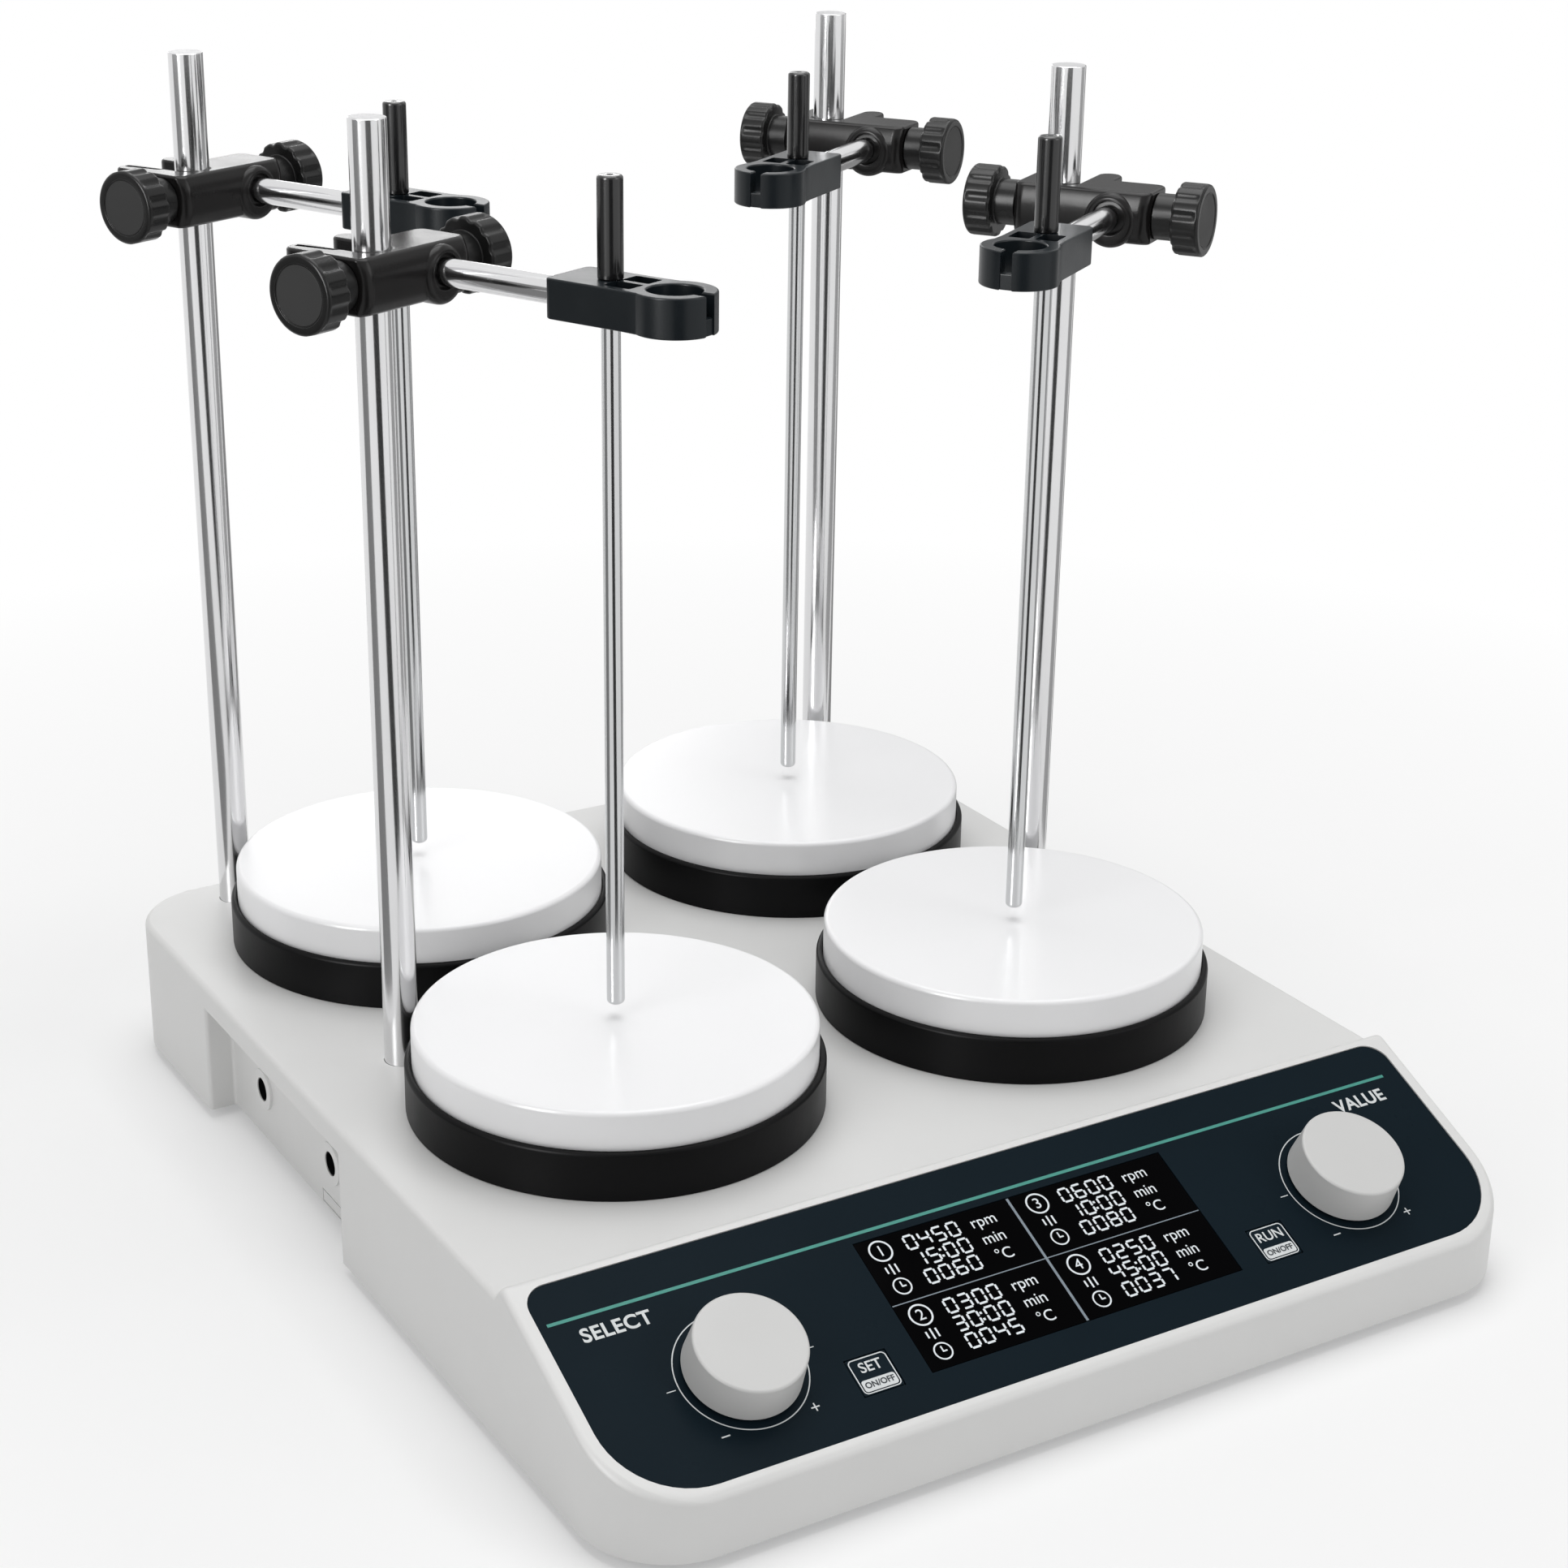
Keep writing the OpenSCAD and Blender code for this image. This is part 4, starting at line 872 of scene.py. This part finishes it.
class STIRRER_OT_bosses(bpy.types.Operator):
    """Builds the boss clamps: a rounded block with an open jaw, and a flared mouth that sags below the cross arm.

    Mouth: (r, h) turned by t gives (r cos t, r sin t - s, h), where s grows from 0 at the bore to the sag outside.
    """
    bl_idname = "stirrer.bosses"
    bl_label = "Boss clamps"

    def execute(self, context):
        looks = context.scene.stirrer_stands
        paint = cast("boss_satin_grey", looks.boss, 0.24, shine=0.22)
        bulge = looks.boss_bulge / MM
        half, tall, jaw, end, far, prong = 11.0, 9.0, 6.05, 15.0, 35.0, 19.525
        bore, lip, rim, throat, deep = ARM_R + 0.2, 5.9, 9.5, 7.5, 12.0
        flank = 5.0  # the swelling and the left end's first corner start this far from the rod's axis

        def swell(rings):
            """Front points go back by bulge times the cube of the height over the half height."""
            front = np.clip((-rings[..., 1] - flank) / flank, 0, 1)
            rings[..., 1] += front * bulge * np.abs(rings[..., 2] / tall) ** 3
            return rings

        tip = (end - jaw) / 2
        loop = np.vstack([
            rounded([(-end, flank), (-end, -half), (far, -half), (far, half), (end, half), (end, prong)],
                    (4, 4, 4, 1.5), 7)[1:-1],
            arc((end - tip, prong), tip, 0, 180, 14),
            arc((0, 0), jaw, 0, -180, 28),
            arc((tip - end, prong), tip, 0, 180, 14),
        ])
        collar = rounded([(bore, 4), (bore, throat), (lip, deep), (rim, deep), (rim, 0), (bore, 0), (bore, 4)],
                         (0.3, 0.5, 2.4, 0, 0), 6)
        mouth = turned(collar, 72)
        mouth[..., 1] -= looks.boss_sag / MM * np.clip((collar[:, :1] - lip) / 2.5, 0, 1)
        furrow = np.array([(-8.9, 8.0), (-6.85, 6.0), (-9.0, 22.2), (-11.4, 21.4)])
        for i in STATIONS:
            place = boss_place(i)
            skin, flare, groove = Skin(), Skin(), Skin()
            skin.slab(loop, -tall, tall, place, looks.boss_edge / MM, 5, swell)
            groove.slab(furrow, 2, 12, place)
            skin.piece(f"boss_cast_{i}", paint, f"boss_{i}", "boss_dark", [f"boss_clamp_{i}"], less=[groove])
            flare.grid(put(mouth, along(put([CROSS, 0, 0], place), -place[1][1])), around=True)
            flare.piece(f"boss_mouth_{i}", paint, f"boss_{i}", "boss_dark")
        return {"FINISHED"}


class STIRRER_OT_grips(bpy.types.Operator):
    """Builds the fluted clamp knobs and the paler caps in their faces."""
    bl_idname = "stirrer.grips"
    bl_label = "Clamp knobs"

    def execute(self, context):
        looks = context.scene.stirrer_stands
        plastic = moulded("grip_moulded_black", looks.grip, 0.28, 1100, 1.0e-5, wander=0.12, shine=0.25)
        matt = moulded("grip_cap_matt_grey", dim(looks.grip, 4.2), 0.5, 1100, 1.0e-5, wander=0.08, shine=0.2)
        lid = plug(9.3, 17.4, 17.75, 0, 0.2, 4)
        grip = self.grip(looks)
        for i in STATIONS:
            for end in ("rod", "arm"):
                body, node = f"{end}_screw_{i}", f"{end}_clamp_knob"
                joint = JOINTS[f"{end}_screw_turn_{i}"]
                place = along(spot(joint), joint["axis"])
                skin = Skin()
                skin.grid(put(grip, place), around=True)
                skin.piece(f"{node}_fluted_{i}", plastic, body, "grip_black", [f"{node}_{i}"])
                lathed(f"{node}_cap_{i}", lid, place, 96, matt, body, "grip_black")
        return {"FINISHED"}

    def grip(self, looks):
        """Turned profile whose side sinks by depth times a cosine across each hollow, fading out before the face."""
        neck, rim, face, dish, wide = 8, 12.5, 18, 17.6, 0.55
        profile = rounded([(0, 0.3), (neck, 0.3), (neck, 8), (rim, 8), (rim, 15.4), (rim, face), (9.8, face),
                           (9.5, dish), (0, dish)], (0.2, 0.5, 1.2, 0, 1.2, 0.3, 0.2), 5)
        t = np.linspace(0, TURN, 16 * looks.flutes, endpoint=False)
        off = np.abs((t * looks.flutes / TURN) % 1 - 0.5) * 2
        hollow = np.where(off < wide, np.cos(off / wide * np.pi / 2), 0)
        r, h = profile[:, :1], profile[:, 1:]
        fade = np.clip((r - 9.9) / 1.6, 0, 1) * np.clip((face - 0.6 - h) / 2, 0, 1)
        r = r - looks.flute / MM * hollow * fade
        return np.stack([r * np.cos(t), r * np.sin(t), h + 0 * t], axis=-1)


class STIRRER_OT_holders(bpy.types.Operator):
    """Builds the sensor holders: a block with two slots that ends in a slit ring."""
    bl_idname = "stirrer.holders"
    bl_label = "Sensor holders"

    def execute(self, context):
        looks = context.scene.stirrer_stands
        paint = cast("holder_blue_black", looks.holder, 0.3, shine=0.25)
        ring, bore, slit, half, tall, at, neck = 13.0, 8.5, 2.0, 11.0, 6.25, -24.0, -12.0
        out, inn, meet = np.degrees(np.arccos([slit / ring, slit / bore, half / ring]))
        loop = np.vstack([
            arc((0, at), ring, -out, meet, 28)[:-1],
            rounded([(half, neck), (half, HOLDER_BACK), (-half, HOLDER_BACK), (-half, neck)], (2.5, 2.5), 6),
            arc((0, at), ring, 180 - meet, 180 + out, 28)[1:],
            arc((0, at), bore, 180 + inn, -inn, 48),
        ])
        tab = rect(-2.2, -36.4, 2.2, -32.8)
        for i in STATIONS:
            place = probe_place(i)
            slots, skin, bridge = Skin(), Skin(), Skin()
            for x in (-4.69, 4.69):
                slots.slab(centred((x, -8.4), (3.69, 5.0), 0.8), 1.25, 12, place)
            skin.slab(loop, -tall, tall, place, looks.holder_edge / MM)
            skin.piece(f"holder_slit_{i}", paint, f"arm_{i}", "holder_black", [f"sensor_holder_{i}"], less=[slots])
            bridge.slab(tab, -6.1, -0.8, place, 0.5)
            bridge.piece(f"holder_bridge_{i}", paint, f"arm_{i}", "holder_black")
        return {"FINISHED"}


class STIRRER_OT_probes(bpy.types.Operator):
    """Turns the temperature probes: a steel sheath with a round tip and a black handle."""
    bl_idname = "stirrer.probes"
    bl_label = "Probes"

    def execute(self, context):
        looks = context.scene.stirrer_stands
        steel = polished("probe_steel_polish", shade(206, 207, 208), 0.12, (1, 1, 0.02))
        gloss = moulded("handle_gloss_black", looks.handle, 0.2, 700, 3e-6, wander=0.15, Coat_Weight=0.3)
        bore, dimple = 3.05, 0.9
        for i in STATIONS:
            place = upright(PLATE_MIDDLE[i])
            r, low, high = round_size(f"probe_sheath_{i}")
            lathed(f"sheath_polished_{i}", plug(r, low, high, 1.6, 0.2), place, 48, steel, f"probe_{i}",
                   "probe_steel", [f"probe_sheath_{i}"])
            r, low, high = round_size(f"probe_handle_{i}")
            handle = rounded([(bore, low + 4), (bore, low), (r, low), (r, high), (dimple, high), (dimple, high - 3),
                              (0, high - 3)], (0.1, 0.5, 1.0, 0.2, 0), 5)
            lathed(f"handle_gloss_{i}", handle, place, 64, gloss, f"probe_{i}", "handle_black",
                   [f"probe_handle_{i}"])
        return {"FINISHED"}


# Panel


def ring_band(skin, middle, radius, width, place, steps=96):
    """Thin printed ring: a flat band of the given width, closed like a washer."""
    inner, outer, top = radius - width / 2, radius + width / 2, FLOAT + PRINT
    section = [(inner, FLOAT), (outer, FLOAT), (outer, top), (inner, top), (inner, FLOAT)]
    skin.lathe(section, (put([*middle, 0], place), place[1]), steps)


def outline_band(skin, loop, width, place, lift=PRINT):
    """Thin printed outline: the band between a loop and the same loop drawn in."""
    inner, top = drawn_in(loop, width), FLOAT + lift
    levels = [(loop, FLOAT), (loop, top), (inner, top), (inner, FLOAT), (loop, FLOAT)]
    skin.grid(put(np.stack([np.c_[line, np.full(len(line), h)] for line, h in levels]), place), around=True)


def bar(skin, loop, place, lift=PRINT):
    """Thin printed area over an outline; areas that cross each other get different lifts."""
    skin.slab(loop, FLOAT, FLOAT + lift, place)


def stroke(skin, start, end, width, place, lift=PRINT):
    """Thin printed line between two points."""
    bar(skin, strip(start, end, width), place, lift)


class STIRRER_OT_panel(bpy.types.Operator):
    """Finishes the overlay and prints its line, rings, ticks and words."""
    bl_idname = "stirrer.panel"
    bl_label = "Panel print"

    def execute(self, context):
        looks = context.scene.stirrer_panel
        film = moulded("panel_navy_film", looks.navy, 0.3, 1600, 6e-6, wander=0.05, shine=0.02)
        coat(frame["nodes"]["panel_overlay"], film)
        ink = Skin()
        dial, arm, bold = looks.dial / MM, 1.4, 0.44
        for side, word in (("left", looks.left_word), ("right", looks.right_word)):
            middle = KNOB_AT[side]
            ring_band(ink, middle, dial, 0.36, PANEL)
            for sign in (-1, 1):
                tick, mark = middle + [sign * (dial + 1.2), 0], middle + [sign * 15, 19]
                stroke(ink, tick, tick + [sign * 3, 0], 0.3, PANEL)
                stroke(ink, mark - [arm, 0], mark + [arm, 0], bold, PANEL)
                if sign > 0:
                    stroke(ink, mark - [0, arm], mark + [0, arm], bold, PANEL, 0.05)
            ink.words(word, 6.8, (SIDES[side] * 142.5, 20.8), PANEL, bold=0.16, spacing=1.06)
        ink.piece("panel_white_print", printed("panel_white_ink", looks.ink), "base", "housing_white")
        line = Skin()
        stroke(line, (-162, 13.9), (158, 13.9), 1.1, PANEL)
        line.piece("panel_teal_line", printed("panel_teal_ink", looks.teal), "base", "panel_navy")
        return {"FINISHED"}


SEGMENTS = {
    "0": "abcdef", "1": "bc", "2": "abged", "3": "abgcd", "4": "fgbc",
    "5": "afgcd", "6": "afgedc", "7": "abc", "8": "abcdefg", "9": "abcdfg",
}
FIGURE_WIDTH = 0.68  # of a figure's height


def figure(skin, digit, x, t, height, place):
    """Seven-segment figure: bars between the corners of two stacked squares, each a strip with round ends."""
    w, h, bold = height * FIGURE_WIDTH, height / 2, height * 0.145
    corner = {row + column: (x + across, t + down) for row, down in (("t", -h), ("m", 0), ("b", h))
              for column, across in (("l", 0), ("r", w))}
    ends = {"a": "tl tr", "b": "tr mr", "c": "mr br", "d": "bl br", "e": "ml bl", "f": "tl ml", "g": "ml mr"}
    for segment in SEGMENTS[digit]:
        start, end = (np.array(corner[key]) for key in ends[segment].split())
        step = unit(end - start) * bold * 0.32
        loop = strip(start + step, end - step, bold)
        bar(skin, rounded_loop(loop, [bold * 0.4] * 4, 3), place, PRINT - (0.01 if segment in "adg" else 0))


class STIRRER_OT_display(bpy.types.Operator):
    """Finishes the display's glass and draws its four fields of figures."""
    bl_idname = "stirrer.display"
    bl_label = "Display"

    def execute(self, context):
        looks = context.scene.stirrer_panel
        black = moulded("display_glass_black", shade(4, 4, 5), 0.1, 500, 2e-6, wander=0.1, shine=0.01)
        coat(frame["nodes"]["display_module"], black)
        glass = (PANEL_AT - 0.15 * PANEL_OUT, PANEL[1])
        lit, lines = Skin(), Skin()
        stroke(lines, (-1.5, 17.4), (-1.5, 66.6), 0.9, glass)
        stroke(lines, (-58.6, 41.8), (58.6, 41.8), 0.35, glass, 0.05)
        rows = {1: ("0450", "15:00", "0060"), 2: ("0300", "30:00", "0045"),
                3: ("0600", "10:00", "0080"), 4: ("0250", "45:00", "0037")}
        left, right, upper, lower = -59, 0, 17, 42.1
        for field, texts in rows.items():
            x0, t0 = left if field < 3 else right, upper if field % 2 else lower
            self.field(lit, field, texts, x0, t0, looks.digit / MM, glass)
        grey = printed("display_line_grey", shade(112, 124, 134), 0.35, 0.1)
        lines.piece("display_dividers", grey, "base", "display_black")
        white = printed("display_figures_white", looks.glow, 0.35, 0.15)
        lit.piece("display_figures", white, "base", "display_black")
        return {"FINISHED"}

    def field(self, skin, field, texts, x0, t0, height, place):
        """One field: circled number, two small signs and three rows of figures with their units."""
        sign, first, wave, clock = x0 + 7.4, t0 + 5.2, t0 + 12.4, t0 + 19.0
        ring_band(skin, (sign, first), 3.7, 0.6, place, 48)
        skin.words(str(field), 5.6, (sign, first + 0.1), place)
        ring_band(skin, (sign, clock), 2.9, 0.5, place, 48)
        stroke(skin, (sign, clock - 1.8), (sign, clock + 0.2), 0.5, place, 0.05)
        stroke(skin, (sign - 0.2, clock + 0.1), (sign + 1.4, clock + 0.1), 0.5, place, 0.055)
        for x, reach in ((sign - 1.8, 1.2), (sign, 2.0), (sign + 1.8, 1.6)):
            stroke(skin, (x, wave - reach), (x, wave + reach), 0.6, place)
        line, colon = 6.75, 0.9
        for row, (text, label) in enumerate(zip(texts, ("rpm", "min", "°C"))):
            t = first + line * row
            x = x0 + 16.6 - colon / 2 * text.count(":")
            for mark in text:
                if mark == ":":
                    for step in (-1.2, 1.2):
                        bar(skin, centred((x - 0.8, t + step), (0.4, 0.4)), place)
                    x += colon
                else:
                    figure(skin, mark, x, t, height, place)
                    x += height * FIGURE_WIDTH + 1.9
            skin.words(label, 5.8, (x0 + 45.4, t + 0.2), place)


class STIRRER_OT_knobs(bpy.types.Operator):
    """Turns the two panel knobs."""
    bl_idname = "stirrer.knobs"
    bl_label = "Panel knobs"

    def execute(self, context):
        looks = context.scene.stirrer_panel
        plastic = moulded("knob_soft_grey", looks.knob, 0.45, 1300, 1e-5, wander=0.015)
        bore, hub, skirt, deep, face = 3.2, 6, 15.6, 11.5, 14
        profile = rounded([(0, 10), (bore, 10), (bore, 3.2), (hub, 3.2), (hub, deep), (skirt, deep), (skirt, 1.0),
                           (18.4, 1.0), (17.5, face), (9, face), (0, face)],
                          (0, 0, 0.4, 0.5, 1.0, 0.4, 0.6, looks.knob_edge / MM, 0), 8)
        for side in SIDES:
            place = along(put([*KNOB_AT[side], 0], PANEL), PANEL_OUT)
            lathed(f"{side}_knob_turned", profile, place, 128, plastic, f"{side}_dial", "knob_grey",
                   [f"{side}_knob"])
        return {"FINISHED"}


class STIRRER_OT_keys(bpy.types.Operator):
    """Builds the two keys with their printed frames and words."""
    bl_idname = "stirrer.keys"
    bl_label = "Keys"

    def execute(self, context):
        looks = context.scene.stirrer_panel
        film = moulded("key_navy_film", dim(looks.navy, 1.1), 0.32, 1600, 6e-6, wander=0.05, shine=0.02)
        ink = printed("key_white_ink", looks.ink)
        dark = printed("key_dark_ink", looks.navy)
        for side, word in (("left", "SET"), ("right", "RUN")):
            at = KEY_AT[side]
            field = at + (0, 3.4)
            key, marks, letters = Skin(), Skin(), Skin()
            key.slab(centred(at, KEY_HALF, 0.6), -2.4, 0, PANEL, 0.25, 4)
            key.piece(f"{side}_key_cap", film, f"{side}_button", "panel_navy", [f"{side}_key"])
            outline_band(marks, centred(at, KEY_HALF - (0.4, 0.35), 1.6), 0.36, PANEL)
            bar(marks, centred(field, (5.8, 2.0), 0.9), PANEL)
            marks.words(word, 5.0, at - (0, 2.6), PANEL, bold=0.06)
            marks.piece(f"{side}_key_print", ink, f"{side}_button", "housing_white")
            letters.words("ON/OFF", 2.8, field, (PANEL_AT + PRINT * PANEL_OUT, PANEL[1]), bold=0.07)
            letters.piece(f"{side}_key_word", dark, f"{side}_button", "panel_navy")
        return {"FINISHED"}


# Pieces that keep their CAD shape


class STIRRER_OT_inner(bpy.types.Operator):
    """Gives the pieces that keep their CAD shape their finishes."""
    bl_idname = "stirrer.inner"
    bl_label = "Inner and rear pieces"

    def execute(self, context):
        for finish, *names in (
            (polished("base_sheet_steel", shade(150, 152, 154), 0.3, (1, 0.05, 1)), "base_plate"),
            (moulded("foot_soft_rubber", shade(28, 28, 29), 0.75, 500, 4e-5, wander=0.2), "feet"),
            (polished("screw_bright_steel", shade(176, 177, 179), 0.2), "base_screws"),
            (polished("heater_cast_aluminium", shade(186, 188, 190), 0.35), "heater_discs"),
            (polished("bracket_zinc_sheet", shade(160, 163, 166), 0.28, (1, 0.1, 1)), "motor_brackets"),
            (cast("motor_black_can", shade(24, 24, 25), 0.42, 0.4), "stir_motors"),
            (polished("magnet_nickel", shade(178, 176, 170), 0.18), *(f"stir_magnet_{i}" for i in STATIONS)),
            (moulded("board_green_mask", shade(24, 84, 52), 0.38, 700, 1e-5, wander=0.15),
             "control_board", "power_board"),
            (moulded("encoder_grey_body", shade(70, 72, 74), 0.4, 900, 1e-5, wander=0.1),
             "encoder_bodies", "key_switches"),
            (polished("encoder_shaft_steel", shade(190, 191, 193), 0.16, (1, 1, 0.1)),
             "left_encoder_shaft", "right_encoder_shaft"),
            (moulded("socket_black_nylon", shade(17, 17, 18), 0.4, 900, 1e-5, wander=0.15, shine=0.06),
             "sensor_sockets", "mains_inlet"),
            (moulded("rocker_black_gloss", shade(20, 20, 21), 0.24, 600, 5e-6, wander=0.15), "power_rocker"),
        ):
            for name in names:
                coat(frame["nodes"][name], finish)
        return {"FINISHED"}


STEPS = (
    STIRRER_OT_stage, STIRRER_OT_housing, STIRRER_OT_plates, STIRRER_OT_rods, STIRRER_OT_bosses, STIRRER_OT_grips,
    STIRRER_OT_holders, STIRRER_OT_probes, STIRRER_OT_panel, STIRRER_OT_display, STIRRER_OT_knobs, STIRRER_OT_keys,
    STIRRER_OT_inner,
)
LOOKS = {"stirrer_housing": StirrerHousing, "stirrer_panel": StirrerPanel, "stirrer_stands": StirrerStands,
         "stirrer_stage": StirrerStage}


class STIRRER_PT_dressing(bpy.types.Panel):
    """Lists the steps and the values they use."""
    bl_label = "Hotplate stirrer"
    bl_space_type = "VIEW_3D"
    bl_region_type = "UI"
    bl_category = "Stirrer"

    def draw(self, context):
        for step in STEPS:
            self.layout.operator(step.bl_idname)
        for name, group in LOOKS.items():
            column = self.layout.column(align=True)
            for key in group.__annotations__:
                column.prop(getattr(context.scene, name), key)


def register():
    """Registers the values, the steps and the sidebar panel."""
    for name, group in LOOKS.items():
        bpy.utils.register_class(group)
        setattr(bpy.types.Scene, name, PointerProperty(type=group))
    for step in (*STEPS, STIRRER_PT_dressing):
        bpy.utils.register_class(step)


def unregister():
    """Takes the sidebar panel, the steps and the values away again."""
    for step in (STIRRER_PT_dressing, *reversed(STEPS)):
        bpy.utils.unregister_class(step)
    for name, group in LOOKS.items():
        delattr(bpy.types.Scene, name)
        bpy.utils.unregister_class(group)


def main():
    """Runs every step in order."""
    register()
    for step in STEPS:
        group, call = step.bl_idname.split(".")
        getattr(getattr(bpy.ops, group), call)()


if __name__ == "__main__":
    main()
